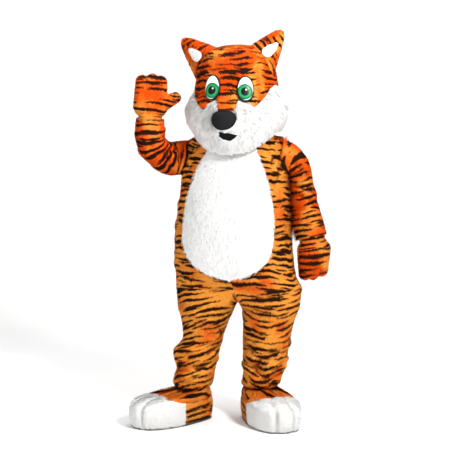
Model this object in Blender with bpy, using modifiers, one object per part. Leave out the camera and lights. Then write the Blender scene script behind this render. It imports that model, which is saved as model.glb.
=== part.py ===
"""A worn tiger costume for an adult: a striped plush jumpsuit with a white belly, two paws, two
boots and a hollow head. Every cloth piece is a wall between its outer and its inner face, and the
neck, armholes, cuffs and hems are open. Metres, +Z up, and the front looks along -Y. Heights in
the tables are above the floor that the boots stand on. The last step lowers everything, so that
the world's origin is where the wearer's shoulders carry the suit.
"""

import math
from collections import namedtuple

import bmesh
import bpy
from mathutils import Matrix, Vector
from mathutils.bvhtree import BVHTree

# Driving dimensions, in metres and degrees
SHOULDER_HEIGHT = 1.360  # the suit hangs from here: the world's origin
HIP = 0.640  # torso above, legs below
CROTCH = 0.581
NECKLINE = 1.383
ARMHOLE_CENTRE = 1.262
ARMHOLE_HALF_HEIGHT = 0.086
ARMHOLE_HALF_ANGLE = 29.0  # to the front and to the back of the side seam
BELLY_LOW = 0.694  # lower end of the egg-shaped belly
ZIP_LOW = 0.780
ZIP_HALF_WIDTH = 0.007
TORSO_YAW = -9.0  # the chest turns to the wearer's right
TORSO_SQUARENESS = 2.3  # exponent of the torso's superellipse
HEAD_YAW = -13.0
HEAD_ROLL = -1.5
HEAD_PLACE = Vector((0.006, -0.012, 1.5124))
HEAD_SQUARENESS = 2.25

PLUSH = 0.008  # backing, lining and short pile
LONG_PILE = 0.016  # backing and long white pile
HEAD_WALL = 0.018  # foam shell under its fur
BOOT_WALL = 0.010
PAW_WALL = 0.011
SEAM = 0.0003  # pieces stay this far apart
SHAPED_SEAM = 0.0005  # the same where the seam crosses tight curves
SEAT = 0.0009  # what lies on a faceted piece stays this far off it
EAR_SEAT = 0.0040
NOSE_SEAT = 0.0026
LINING_SEAT = 0.0013
BELLY_SEAM = 0.0012  # round the belly, where thick pile meets thin

# Tables: a row for each section, from the bottom up or from the shoulder out
TorsoRow = namedtuple("TorsoRow", "height centre_x centre_y half_width front back")
TORSO = (
    TorsoRow(0.640, 0.0135, 0.000, 0.3065, 0.170, 0.168),
    TorsoRow(0.700, -0.0020, 0.000, 0.2900, 0.200, 0.182),
    TorsoRow(0.780, -0.0085, 0.000, 0.2885, 0.222, 0.184),
    TorsoRow(0.870, -0.0145, 0.000, 0.2830, 0.228, 0.174),
    TorsoRow(0.960, -0.0120, 0.000, 0.2760, 0.220, 0.164),
    TorsoRow(1.046, -0.0105, 0.000, 0.2675, 0.202, 0.158),
    TorsoRow(1.130, -0.0095, 0.000, 0.2590, 0.180, 0.154),
    TorsoRow(1.220, -0.0060, 0.000, 0.2540, 0.156, 0.146),
    TorsoRow(1.290, 0.0000, 0.000, 0.2490, 0.136, 0.134),
    TorsoRow(1.330, 0.0000, 0.000, 0.2390, 0.125, 0.126),
    TorsoRow(1.357, 0.0000, 0.000, 0.2100, 0.114, 0.116),
    TorsoRow(1.372, 0.0000, 0.000, 0.1640, 0.106, 0.110),
    TorsoRow(1.383, 0.0000, 0.000, 0.1240, 0.100, 0.104),
)

BellyRow = namedtuple("BellyRow", "height half_width")
BELLY = (
    BellyRow(0.694, 0.014),
    BellyRow(0.699, 0.048),
    BellyRow(0.708, 0.082),
    BellyRow(0.724, 0.114),
    BellyRow(0.750, 0.155),
    BellyRow(0.790, 0.189),
    BellyRow(0.840, 0.206),
    BellyRow(0.910, 0.212),
    BellyRow(0.990, 0.208),
    BellyRow(1.060, 0.196),
    BellyRow(1.130, 0.179),
    BellyRow(1.210, 0.151),
    BellyRow(1.290, 0.112),
    BellyRow(1.383, 0.070),
)

LimbRow = namedtuple("LimbRow", "height centre_x centre_y half_width half_depth")
LEG_RIGHT = (
    LimbRow(0.160, -0.2090, 0.018, 0.0912, 0.0912),
    LimbRow(0.174, -0.2090, 0.018, 0.0980, 0.100),
    LimbRow(0.190, -0.2060, 0.017, 0.0990, 0.101),
    LimbRow(0.240, -0.1970, 0.008, 0.0980, 0.103),
    LimbRow(0.298, -0.1900, 0.000, 0.1050, 0.108),
    LimbRow(0.350, -0.1780, -0.006, 0.1070, 0.112),
    LimbRow(0.390, -0.1600, -0.008, 0.1000, 0.114),
    LimbRow(0.430, -0.1540, -0.006, 0.1050, 0.122),
    LimbRow(0.480, -0.1480, -0.003, 0.1180, 0.132),
    LimbRow(0.535, -0.1430, 0.000, 0.1370, 0.156),
)
LEG_LEFT = (
    LimbRow(0.160, 0.1180, 0.024, 0.0908, 0.0908),
    LimbRow(0.174, 0.1200, 0.022, 0.0980, 0.100),
    LimbRow(0.190, 0.1250, 0.018, 0.0980, 0.101),
    LimbRow(0.240, 0.1360, 0.008, 0.1020, 0.106),
    LimbRow(0.298, 0.1390, 0.000, 0.1090, 0.112),
    LimbRow(0.355, 0.1440, -0.005, 0.1140, 0.117),
    LimbRow(0.413, 0.1490, -0.006, 0.1190, 0.124),
    LimbRow(0.470, 0.1560, -0.003, 0.1260, 0.133),
    LimbRow(0.535, 0.1665, 0.000, 0.1410, 0.156),
)

# Along a sleeve: the ring's centre, its half width in the plane of the bend and its half depth
# across it
SleeveRow = namedtuple("SleeveRow", "x y z half_width half_depth")
SLEEVE_RIGHT = (
    SleeveRow(-0.285, 0.028, 1.2580, 0.0845, 0.078),
    SleeveRow(-0.314, 0.014, 1.2540, 0.0820, 0.078),
    SleeveRow(-0.344, -0.004, 1.2620, 0.0760, 0.079),
    SleeveRow(-0.370, -0.024, 1.2820, 0.0725, 0.079),
    SleeveRow(-0.391, -0.046, 1.3120, 0.0725, 0.078),
    SleeveRow(-0.402, -0.066, 1.3450, 0.0720, 0.076),
    SleeveRow(-0.405, -0.085, 1.3900, 0.0695, 0.073),
    SleeveRow(-0.403, -0.095, 1.4350, 0.0680, 0.069),
)
SLEEVE_LEFT = (
    SleeveRow(0.2740, -0.038, 1.2480, 0.0780, 0.079),
    SleeveRow(0.2860, -0.038, 1.2260, 0.0660, 0.080),
    SleeveRow(0.2990, -0.039, 1.2000, 0.0560, 0.080),
    SleeveRow(0.3065, -0.040, 1.1720, 0.0540, 0.080),
    SleeveRow(0.3122, -0.042, 1.1350, 0.0578, 0.079),
    SleeveRow(0.3187, -0.045, 1.0900, 0.0613, 0.078),
    SleeveRow(0.3266, -0.049, 1.0400, 0.0654, 0.078),
    SleeveRow(0.3348, -0.053, 0.9900, 0.0692, 0.078),
    SleeveRow(0.3442, -0.058, 0.9400, 0.0738, 0.078),
    SleeveRow(0.3570, -0.064, 0.8800, 0.0760, 0.077),
)

# Folds: where each one's middle is, how far it runs and how wide it is (m), how far it stands out,
# its slope (degrees)
Fold = namedtuple("Fold", "angle height length width out slope")
TORSO_FOLDS = (
    Fold(54, 1.270, 0.110, 0.018, 0.010, 62),
    Fold(62, 1.180, 0.110, 0.020, -0.008, 55),
    Fold(70, 1.080, 0.090, 0.020, 0.008, -25),
    Fold(76, 1.010, 0.080, 0.018, -0.006, -18),
    Fold(-60, 1.150, 0.090, 0.018, 0.009, 24),
    Fold(-70, 1.100, 0.090, 0.018, -0.007, 30),
    Fold(-74, 1.040, 0.080, 0.020, 0.006, 20),
    Fold(-78, 0.760, 0.110, 0.022, 0.007, 8),
    Fold(80, 0.720, 0.110, 0.022, 0.007, -10),
    Fold(128, 1.210, 0.120, 0.020, 0.009, -60),
    Fold(-128, 1.210, 0.120, 0.020, 0.009, 60),
    Fold(140, 0.980, 0.130, 0.024, -0.008, -14),
    Fold(-146, 0.920, 0.120, 0.024, 0.008, 12),
    Fold(130, 0.760, 0.130, 0.026, 0.009, 10),
    Fold(-132, 0.740, 0.120, 0.026, -0.008, -10),
)
# On a leg, angle 0 is the front and 90 the outer side
LEG_RIGHT_FOLDS = (
    Fold(30, 0.352, 0.150, 0.020, 0.013, 10),
    Fold(90, 0.336, 0.150, 0.020, 0.013, 4),
    Fold(10, 0.318, 0.160, 0.017, -0.011, -12),
    Fold(60, 0.288, 0.150, 0.017, 0.012, 14),
    Fold(-10, 0.262, 0.120, 0.016, -0.010, 8),
    Fold(90, 0.240, 0.140, 0.017, -0.009, -10),
    Fold(20, 0.220, 0.160, 0.016, 0.011, -6),
    Fold(40, 0.192, 0.150, 0.015, -0.009, 10),
    Fold(190, 0.352, 0.150, 0.020, -0.012, 4),
    Fold(170, 0.305, 0.150, 0.018, 0.012, -8),
    Fold(200, 0.255, 0.150, 0.018, -0.010, 10),
    Fold(180, 0.205, 0.150, 0.017, 0.010, -8),
    Fold(-10, 0.480, 0.120, 0.022, 0.009, 38),
    Fold(190, 0.490, 0.140, 0.024, 0.009, -20),
)
LEG_LEFT_FOLDS = (
    Fold(-20, 0.330, 0.140, 0.018, 0.012, 36),
    Fold(0, 0.290, 0.140, 0.016, -0.012, 38),
    Fold(10, 0.252, 0.130, 0.016, 0.013, 34),
    Fold(-40, 0.235, 0.100, 0.016, -0.011, -40),
    Fold(30, 0.210, 0.130, 0.015, -0.010, 20),
    Fold(60, 0.255, 0.120, 0.018, 0.010, -14),
    Fold(0, 0.186, 0.150, 0.014, 0.010, 4),
    Fold(-40, 0.385, 0.140, 0.018, -0.008, 32),
    Fold(70, 0.380, 0.110, 0.018, 0.009, -22),
    Fold(180, 0.370, 0.150, 0.020, -0.012, -4),
    Fold(190, 0.315, 0.150, 0.018, 0.012, 10),
    Fold(170, 0.260, 0.150, 0.018, -0.010, -8),
    Fold(180, 0.205, 0.150, 0.017, 0.010, 8),
    Fold(-50, 0.480, 0.120, 0.022, 0.008, 50),
    Fold(190, 0.490, 0.140, 0.024, 0.009, 20),
)
# On a sleeve, angle 0 is the top of the armhole, 90 the front, and height is the distance from the
# armhole
SLEEVE_RIGHT_FOLDS = (
    Fold(0, 0.100, 0.100, 0.014, -0.007, 0),
    Fold(60, 0.060, 0.110, 0.015, 0.009, 30),
    Fold(80, 0.105, 0.110, 0.015, -0.008, 24),
    Fold(70, 0.150, 0.120, 0.014, 0.009, 18),
    Fold(-60, 0.080, 0.110, 0.015, 0.009, -28),
    Fold(-70, 0.140, 0.110, 0.015, -0.008, -22),
    Fold(180, 0.250, 0.100, 0.018, 0.006, 4),
    Fold(90, 0.230, 0.100, 0.016, -0.006, -6),
)
SLEEVE_LEFT_FOLDS = (
    Fold(60, 0.075, 0.100, 0.016, 0.008, -40),
    Fold(100, 0.150, 0.110, 0.016, 0.008, -28),
    Fold(90, 0.188, 0.110, 0.015, -0.009, -22),
    Fold(100, 0.225, 0.120, 0.016, 0.009, -34),
    Fold(60, 0.262, 0.100, 0.016, -0.008, 14),
    Fold(-90, 0.185, 0.120, 0.017, 0.009, 18),
    Fold(-90, 0.232, 0.120, 0.017, -0.009, -12),
    Fold(0, 0.215, 0.110, 0.018, 0.007, 8),
    Fold(80, 0.325, 0.110, 0.018, 0.007, 12),
)

# Heights on the head are from its centre; drop is how far the ring's front hangs below its sides
HeadRow = namedtuple("HeadRow", "height drop half_width front back")
HEAD = (
    HeadRow(-0.1315, 0.112, 0.209, 0.186, 0.186),
    HeadRow(-0.100, 0.095, 0.224, 0.208, 0.198),
    HeadRow(-0.060, 0.080, 0.240, 0.220, 0.208),
    HeadRow(-0.010, 0.050, 0.244, 0.218, 0.215),
    HeadRow(0.030, 0.028, 0.222, 0.212, 0.216),
    HeadRow(0.060, 0.018, 0.204, 0.207, 0.213),
    HeadRow(0.100, 0.010, 0.194, 0.202, 0.208),
    HeadRow(0.150, 0.000, 0.186, 0.192, 0.199),
    HeadRow(0.195, 0.000, 0.171, 0.173, 0.180),
    HeadRow(0.235, 0.000, 0.143, 0.143, 0.148),
    HeadRow(0.262, 0.000, 0.102, 0.100, 0.104),
    HeadRow(0.275, 0.000, 0.054, 0.052, 0.056),
    HeadRow(0.279, 0.000, 0.016, 0.016, 0.016),
)
HEAD_FORMS = (
    Fold(0, -0.038, 0.100, 0.055, 0.052, 0),
    Fold(0, -0.088, 0.060, 0.030, 0.014, 0),
    Fold(72, -0.030, 0.110, 0.050, 0.010, 0),
    Fold(-72, -0.030, 0.110, 0.050, 0.001, 0),
)
# Where the white of the face ends, from its middle to the sides
EdgeRow = namedtuple("EdgeRow", "angle height")
FACE_EDGE = (
    EdgeRow(0.0, -0.012),
    EdgeRow(6.5, -0.010),
    EdgeRow(9.5, 0.026),
    EdgeRow(14.0, 0.032),
    EdgeRow(20.0, 0.018),
    EdgeRow(28.0, 0.000),
    EdgeRow(38.0, 0.014),
    EdgeRow(50.0, 0.036),
    EdgeRow(64.0, 0.062),
    EdgeRow(80.0, 0.080),
    EdgeRow(180.0, 0.080),
)
FACE_COLUMNS = (0, 3, 6.5, 8, 9.5, 14, 20, 28, 38, 50, 62, 74, 87, 100)
BACK_COLUMNS = (100, 114, 131, 148, 164, 180)

# Pads that lie on the head: a middle (angle, height), half sizes, how far they stand out, and the
# outline's exponent
Pad = namedtuple("Pad", "angle height half_width half_height rise squareness top_width")
EYE_RIGHT = Pad(-17.7, 0.074, 0.0425, 0.0595, 0.011, 2.2, 0.86)
EYE_LEFT = Pad(21.3, 0.062, 0.0430, 0.061, 0.011, 2.2, 0.86)
NOSE = Pad(-1.5, -0.031, 0.050, 0.046, 0.026, 2.25, 1.35)
MOUTH = Pad(1.0, -0.076, 0.044, 0.018, 0.003, 2.0, 1.0)

# Each ear: middle of its base on the head, the base's half sizes along and across, the tip and how
# far it narrows
Ear = namedtuple("Ear", "angle height half_length half_depth lean tip tip_share")
EAR_RIGHT = Ear(-71.0, 0.207, 0.092, 0.036, 0.9, Vector((-0.260, -0.020, 0.315)), 0.24)
EAR_LEFT = Ear(74.0, 0.207, 0.092, 0.036, 0.9, Vector((0.232, -0.020, 0.323)), 0.24)

# The white on an ear's front: how far towards the tip, and its shape
LINING_SHARE = 0.31
LINING = Pad(0, 0, 0.026, 0.034, 0.001, 2.3, 0.35)

# A boot's own frame: its toes point along -Y and its ankle is over the origin
BootRow = namedtuple("BootRow", "height centre_y half_width front back squareness")
BOOT = (
    BootRow(0.0083, -0.050, 0.116, 0.290, 0.134, 2.9),
    BootRow(0.040, -0.050, 0.123, 0.300, 0.138, 2.9),
    BootRow(0.080, -0.050, 0.125, 0.302, 0.138, 2.9),
    BootRow(0.112, -0.048, 0.122, 0.292, 0.134, 2.8),
    BootRow(0.132, -0.042, 0.112, 0.256, 0.122, 2.6),
    BootRow(0.143, -0.028, 0.098, 0.190, 0.106, 2.4),
    BootRow(0.150, -0.006, 0.0860, 0.103, 0.088, 2.1),
    BootRow(0.156, 0.000, 0.0795, 0.0800, 0.0795, 2.0),
    BootRow(0.185, 0.000, 0.0780, 0.0780, 0.0780, 2.0),
)
TOE_CREASES = (
    Fold(13.0, 0.070, 0.100, 0.016, -0.023, 90),
    Fold(-13.0, 0.070, 0.100, 0.016, -0.023, 90),
    Fold(0.0, 0.070, 0.090, 0.030, 0.007, 90),
)
TOE_EDGE = (
    EdgeRow(0.0, 0.1430),
    EdgeRow(30.0, 0.1415),
    EdgeRow(60.0, 0.130),
    EdgeRow(80.0, 0.108),
    EdgeRow(180.0, 0.108),
)
TOE_COLUMNS = (0, 4.5, 9, 13, 17, 23, 34, 49, 66, 80)
HEEL_COLUMNS = (80, 100, 122, 144, 164, 180)
SOLE_THICKNESS = 0.008
SOLE_EDGE = -0.001
HEEL_TAPER = 0.20
Placed = namedtuple("Placed", "place yaw")
BOOT_RIGHT = Placed(Vector((-0.209, 0.018, 0.0)), -48.0)
BOOT_LEFT = Placed(Vector((0.118, 0.024, 0.0)), 18.0)

# A paw's own frame: its wrist is the origin, its fingers point up and its palm looks along -Y
Lobe = namedtuple("Lobe", "low high low_radius high_radius")
Paw = namedtuple("Paw", "place turn mirror curl cuff_radius thumb_tip")
PAW_LOBES = (
    Lobe(Vector((-0.026, 0.000, 0.050)), Vector((-0.045, -0.002, 0.159)), 0.060, 0.034),
    Lobe(Vector((0.000, 0.000, 0.050)), Vector((0.003, -0.002, 0.165)), 0.060, 0.036),
    Lobe(Vector((0.024, 0.000, 0.050)), Vector((0.043, -0.002, 0.160)), 0.060, 0.034),
)
THUMB_ROOT = Vector((0.030, -0.006, 0.050))
THUMB_RADII = (0.047, 0.029)
Cuff = namedtuple("Cuff", "low high")
CUFF = Cuff(-0.026, 0.050)
PAW_RIGHT = Paw(
    Vector((-0.402, -0.098, 1.4460)),
    (7.0, 3.5, 0.0),
    1.0,
    0.0,
    0.0572,
    Vector((0.116, -0.014, 0.094)),
)
PAW_LEFT = Paw(
    Vector((0.3610, -0.0670, 0.8680)),
    (180.0, -8.0, 26.0),
    -1.05,
    14.0,
    0.0612,
    Vector((0.018, -0.050, 0.108)),
)

# Grids
ARMHOLE_STEPS = 8
LEG_OUTSIDE = 11  # points round the outside of a leg, at the hip
LEG_INSIDE = 6  # points along the crotch seam
LEG_BLEND = 4  # rows between the hip seam and the first whole ring
LEG_ROWS = 14
CROTCH_REACH = 54.0  # degrees of a leg's ring, either side of its inner line, at the crotch seam
SLEEVE_STEPS = 17
SLEEVE_BLEND = 0.070
PAW_VOXEL = 0.0055
PAW_TRIANGLES_KEPT = 0.038

Finish = namedtuple("Finish", "colour roughness")
FINISHES = {
    "tiger_plush": Finish((0.85, 0.26, 0.03, 1.0), 0.85),
    "white_pile": Finish((0.90, 0.89, 0.87, 1.0), 0.90),
    "black_foam": Finish((0.02, 0.02, 0.02, 1.0), 0.60),
    "eye_plastic": Finish((0.10, 0.45, 0.20, 1.0), 0.30),
    "sole_rubber": Finish((0.08, 0.08, 0.08, 1.0), 0.80),
    "zip_tape": Finish((0.55, 0.20, 0.05, 1.0), 0.70),
}

# --- helpers -----------------------------------------------------------------


def clear_scene():
    for item in list(bpy.data.objects):
        bpy.data.objects.remove(item)


def make_collection(name):
    collection = bpy.data.collections.new(name)
    bpy.context.scene.collection.children.link(collection)
    return collection


def make_material(name, finish):
    material = bpy.data.materials.new(name)
    material.use_nodes = True
    shader = material.node_tree.nodes["Principled BSDF"]
    shader.inputs["Base Color"].default_value = finish.colour
    shader.inputs["Roughness"].default_value = finish.roughness
    shader.inputs["Metallic"].default_value = 0.0
    return material


def smooth_step(share):
    share = min(1.0, max(0.0, share))
    return share * share * (3 - 2 * share)


def spread(start, end, count):
    return [start + (end - start) * i / (count - 1) for i in range(count)]


def mirrored(angles):
    """The angles on both sides of the middle, from the right to the left."""
    return [-a for a in reversed(angles)] + [a for a in angles if a > 0]


def read(table, column, at):
    """The column's value at this station, on a smooth curve. Column 0 holds the stations."""
    stations = [row[0] for row in table]
    values = [getattr(row, column) for row in table]
    last = len(table) - 1
    if at <= stations[0]:
        return values[0]
    if at >= stations[last]:
        return values[last]
    k = max(i for i in range(last) if stations[i] <= at)

    def slope(i):
        a, b = max(i - 1, 0), min(i + 1, last)
        return (values[b] - values[a]) / (stations[b] - stations[a])

    step = stations[k + 1] - stations[k]
    t = (at - stations[k]) / step
    return (
        (2 * t**3 - 3 * t**2 + 1) * values[k]
        + (t**3 - 2 * t**2 + t) * step * slope(k)
        + (3 * t**2 - 2 * t**3) * values[k + 1]
        + (t**3 - t**2) * step * slope(k + 1)
    )


def read_straight(table, column, at):
    """The column's value at this station, on straight lines between the rows."""
    for a, b in zip(table, table[1:]):
        if at <= b[0]:
            t = max(0.0, (at - a[0]) / (b[0] - a[0]))
            return getattr(a, column) + t * (getattr(b, column) - getattr(a, column))
    return getattr(table[-1], column)


def ring_point(angle, half_width, front, back, squareness):
    """A point of a superellipse: angle 0 is the front, 90 the wearer's left."""
    s, c = math.sin(math.radians(angle)), math.cos(math.radians(angle))
    depth = front if c > 0 else back
    x = math.copysign(abs(s) ** (2 / squareness), s) * half_width
    y = -math.copysign(abs(c) ** (2 / squareness), c) * depth
    return Vector((x, y, 0.0))


def fold_height(folds, angle, height, radius):
    """How far the folds lift the cloth here: each is a soft ridge or trough with tapered ends."""
    total = 0.0
    for fold in folds:
        turn = (angle - fold.angle + 180.0) % 360.0 - 180.0
        across, up = math.radians(turn) * radius, height - fold.height
        c, s = math.cos(math.radians(fold.slope)), math.sin(math.radians(fold.slope))
        along = (across * c + up * s) / fold.length
        away = (-across * s + up * c) / fold.width
        if abs(along) < 1.0:
            total += fold.out * (1 - along * along) ** 2 * math.exp(-away * away)
    return total


def normal_of(surface, angle, height, low, high):
    """The outward normal of surface(angle, height) where height runs from low to high."""
    along = surface(angle + 0.5, height) - surface(angle - 0.5, height)
    up = surface(angle, min(high, height + 0.002)) - surface(angle, max(low, height - 0.002))
    return along.cross(up).normalized()


def add_object(name, mesh_maker, material):
    bmesh.ops.recalc_face_normals(mesh_maker, faces=mesh_maker.faces)
    bmesh.ops.triangulate(mesh_maker, faces=mesh_maker.faces)
    mesh = bpy.data.meshes.new(name)
    mesh_maker.to_mesh(mesh)
    mesh_maker.free()
    item = bpy.data.objects.new(name, mesh)
    if material:
        mesh.materials.append(material)
    mesh.shade_smooth()
    mesh.set_sharp_from_angle(angle=math.radians(50))
    return item


def split_face(maker, a, b, c, d):
    """Two triangles with the same diagonal on both sides of a seam, which stay parallel."""
    maker.faces.new((a, b, c))
    maker.faces.new((a, c, d))


def loft(name, outer, inner, material, closed, capped=False):
    """A wall between two grids of points: closed joins each row's ends, capped shuts the top."""
    rows, columns = len(outer), len(outer[0])
    maker = bmesh.new()
    out = [[maker.verts.new(p) for p in row] for row in outer]
    into = [[maker.verts.new(p) for p in row] for row in inner]
    for j in range(columns if closed else columns - 1):
        k = (j + 1) % columns
        for i in range(rows - 1):
            maker.faces.new((out[i][j], out[i][k], out[i + 1][k], out[i + 1][j]))
            maker.faces.new((into[i][j], into[i + 1][j], into[i + 1][k], into[i][k]))
        split_face(maker, out[0][j], out[0][k], into[0][k], into[0][j])
        if not capped:
            split_face(maker, out[-1][j], out[-1][k], into[-1][k], into[-1][j])
    if capped:
        maker.faces.new(out[-1])
        maker.faces.new(list(reversed(into[-1])))
    if not closed:
        for i in range(rows - 1):
            split_face(maker, out[i][0], out[i + 1][0], into[i + 1][0], into[i][0])
            split_face(maker, out[i][-1], out[i + 1][-1], into[i + 1][-1], into[i][-1])
    return add_object(name, maker, material)


def window_panel(name, point, angles, lows, highs, rows, thickness, material, **options):
    """A wall over these angles of the surface point(angle, height, lift), between two edges."""
    outer, inner = [], []
    for share in spread(0.0, 1.0, rows):
        heights = [low + (high - low) * share for low, high in zip(lows, highs)]
        outer.append([point(a, h, 0.0) for a, h in zip(angles, heights)])
        inner.append([point(a, h, -thickness) for a, h in zip(angles, heights)])
    return loft(name, outer, inner, material, **options)


# --- torso -------------------------------------------------------------------


def torso_base(angle, height):
    half_width, front, back = (read(TORSO, c, height) for c in ("half_width", "front", "back"))
    flat = Matrix.Rotation(math.radians(TORSO_YAW), 3, "Z") @ ring_point(
        angle, half_width, front, back, TORSO_SQUARENESS
    )
    return flat + Vector((read(TORSO, "centre_x", height), read(TORSO, "centre_y", height), height))


def torso_normal(angle, height):
    """Level at the hip seam, so that torso and legs meet in one plane."""
    normal = normal_of(torso_base, angle, height, HIP, NECKLINE)
    level = Vector((normal.x, normal.y, 0.0)).normalized()
    return level.lerp(normal, smooth_step((height - HIP) / 0.03)).normalized()


def torso_point(angle, height, lift=0.0):
    """The torso's outer face at this angle and height, lifted along its normal."""
    fade = smooth_step((height - HIP) / 0.05) * smooth_step((NECKLINE - height) / 0.04)
    lift += fold_height(TORSO_FOLDS, angle, height, 0.25) * fade
    return torso_base(angle, height) + torso_normal(angle, height) * lift


def arc_degrees(distance, angle, height):
    """The angle that spans this distance along the torso's ring."""
    gap = (torso_base(angle + 1, height) - torso_base(angle - 1, height)).length / 2
    return distance / gap


def armhole_reach(height):
    """Degrees from the side seam to the armhole's edge at this height."""
    up = (height - ARMHOLE_CENTRE) / ARMHOLE_HALF_HEIGHT
    return ARMHOLE_HALF_ANGLE * math.sqrt(max(0.0, 1 - up * up))


def belly_angle(height):
    """Degrees from the middle of the front to the belly's edge."""
    if height < BELLY_LOW:
        return 0.0
    share = read(BELLY, "half_width", height) / read(TORSO, "half_width", height)
    return math.degrees(math.asin(min(1.0, share ** (TORSO_SQUARENESS / 2))))


def torso_heights():
    """The rows of every torso piece, closer together round the belly's lower end and the armhole."""
    lower = [HIP, 0.666, BELLY_LOW - 0.0020, BELLY_LOW, 0.699, 0.708, 0.724, 0.750, ZIP_LOW]
    middle = spread(0.830, 1.125, 6)
    armhole = [
        ARMHOLE_CENTRE - ARMHOLE_HALF_HEIGHT * math.cos(math.pi * i / ARMHOLE_STEPS)
        for i in range(ARMHOLE_STEPS + 1)
    ]
    return lower + middle + armhole + [1.366, NECKLINE]


def torso_panel(name, heights, start, end, columns, thickness, material, lift=0.0):
    """A torso piece between two edges, each an angle that depends on the height."""
    outer, inner = [], []
    for height in heights:
        angles = spread(start(height), end(height), columns)
        outer.append([torso_point(a, height, lift) for a in angles])
        inner.append([torso_point(a, height, lift - thickness) for a in angles])
    return loft(name, outer, inner, material, closed=False)


def half_seam(angle, height):
    return arc_degrees(SEAM / 2, angle, height)


def side_edge(height):
    return max(armhole_reach(height), half_seam(90, height))


def belly_edge(height):
    gap = BELLY_SEAM / 2 if height >= BELLY_LOW else SEAM / 2
    return belly_angle(height) + arc_degrees(gap, belly_angle(height), height)


def back_edge(height):
    half = ZIP_HALF_WIDTH if height >= ZIP_LOW else SEAM / 2
    return 180 - arc_degrees(half, 180, height)


def front_panel(name, sign, material):
    edges = [lambda h: sign * belly_edge(h), lambda h: sign * (90 - side_edge(h))]
    start, end = edges if sign > 0 else reversed(edges)
    return torso_panel(name, torso_heights(), start, end, 6, PLUSH, material)


def back_panel(name, sign, material):
    edges = [lambda h: sign * (90 + side_edge(h)), lambda h: sign * back_edge(h)]
    start, end = edges if sign > 0 else reversed(edges)
    return torso_panel(name, torso_heights(), start, end, 6, PLUSH, material)


def belly_panel(name, material):
    heights = [h for h in torso_heights() if h >= BELLY_LOW]

    def edge(height):
        return belly_angle(height) - arc_degrees(BELLY_SEAM / 2, belly_angle(height), height)

    lift = LONG_PILE - PLUSH
    return torso_panel(name, heights, lambda h: -edge(h), edge, 13, LONG_PILE, material, lift)


def zip_strip(name, material):
    """The closed zip's tape, set between the two back pieces and a little below their face."""
    heights = [ZIP_LOW + 2 * SEAM] + [h for h in torso_heights() if h > ZIP_LOW]
    half = ZIP_HALF_WIDTH - SEAM

    def edge(height):
        return arc_degrees(half, 180, height)

    return torso_panel(
        name, heights, lambda h: 180 - edge(h), lambda h: 180 + edge(h), 2, 0.003, material, -0.002
    )


# --- legs --------------------------------------------------------------------


def leg_ring(table, folds, sign, height, grow):
    """One level ring of a leg, from the front by the outside, the back and the inside."""
    centre = Vector((read(table, "centre_x", height), read(table, "centre_y", height), height))
    half_width, half_depth = read(table, "half_width", height), read(table, "half_depth", height)
    first, last = -90 + CROTCH_REACH, 270 - CROTCH_REACH
    turns = spread(first, last, LEG_OUTSIDE)
    turns += spread(last, 360 + first, LEG_INSIDE + 2)[1:-1]
    ring = []
    for turn in turns:
        out = grow + fold_height(folds, turn, height, half_width)
        flat = ring_point(turn, half_width + out, half_depth + out, half_depth + out, 2.0)
        ring.append(centre + Vector((flat.x * sign, flat.y, 0.0)))
    return ring


def hip_ring(sign, inside):
    """A leg's top edge: half of the torso's hem, then the crotch seam."""
    depth = PLUSH if inside else 0.0
    turned = Matrix.Rotation(math.radians(TORSO_YAW), 3, "Z")
    middle = Vector((read(TORSO, "centre_x", HIP), read(TORSO, "centre_y", HIP), HIP - SEAM))
    ring = []
    for turn in spread(0, 180, LEG_OUTSIDE):
        point = torso_base(sign * turn, HIP) - torso_normal(sign * turn, HIP) * depth
        ring.append(turned.inverted() @ (point - Vector((middle.x, middle.y, HIP))))
    front, back = ring[0].y, ring[-1].y
    for i in range(1, LEG_INSIDE + 1):
        turn = math.pi * i / (LEG_INSIDE + 1)
        y = (front + back) / 2 + (back - front) / 2 * math.cos(turn)
        ring.append(Vector((0.0, y, (CROTCH - HIP + depth) * math.sin(turn))))
    for point in ring:
        point.x = sign * max(SEAM / 2, sign * point.x)
    return [middle + turned @ point for point in ring]


def leg(name, table, folds, sign, material):
    """A trouser leg: a blend from the hip and crotch seams to level rings, down to an open hem."""
    top_height = table[-1].height
    skins = []
    for inside in (False, True):
        grow = -PLUSH if inside else 0.0
        top = hip_ring(sign, inside)
        first = leg_ring(table, folds, sign, top_height, grow)
        rows = []
        for i in range(LEG_BLEND):
            share = i / LEG_BLEND
            rows.append([a.lerp(b, share) for a, b in zip(top, first)])
        for height in spread(top_height, table[0].height, LEG_ROWS):
            rows.append(leg_ring(table, folds, sign, height, grow))
        rows.reverse()
        skins.append(rows)
    return loft(name, skins[0], skins[1], material, closed=True)


# --- sleeves -----------------------------------------------------------------


def armhole_ring(sign, lift, shrink):
    """Points round the armhole at the torso's own rows, drawn in towards its middle."""
    centre = torso_point(sign * 90, ARMHOLE_CENTRE, lift)
    ring = []
    for i in range(2 * ARMHOLE_STEPS):
        height = ARMHOLE_CENTRE + ARMHOLE_HALF_HEIGHT * math.cos(math.pi * i / ARMHOLE_STEPS)
        reach = armhole_reach(height) * (1 if i <= ARMHOLE_STEPS else -1)
        point = torso_point(sign * (90 - reach), height, lift)
        ring.append(point + (centre - point).normalized() * shrink)
    return ring


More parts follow.
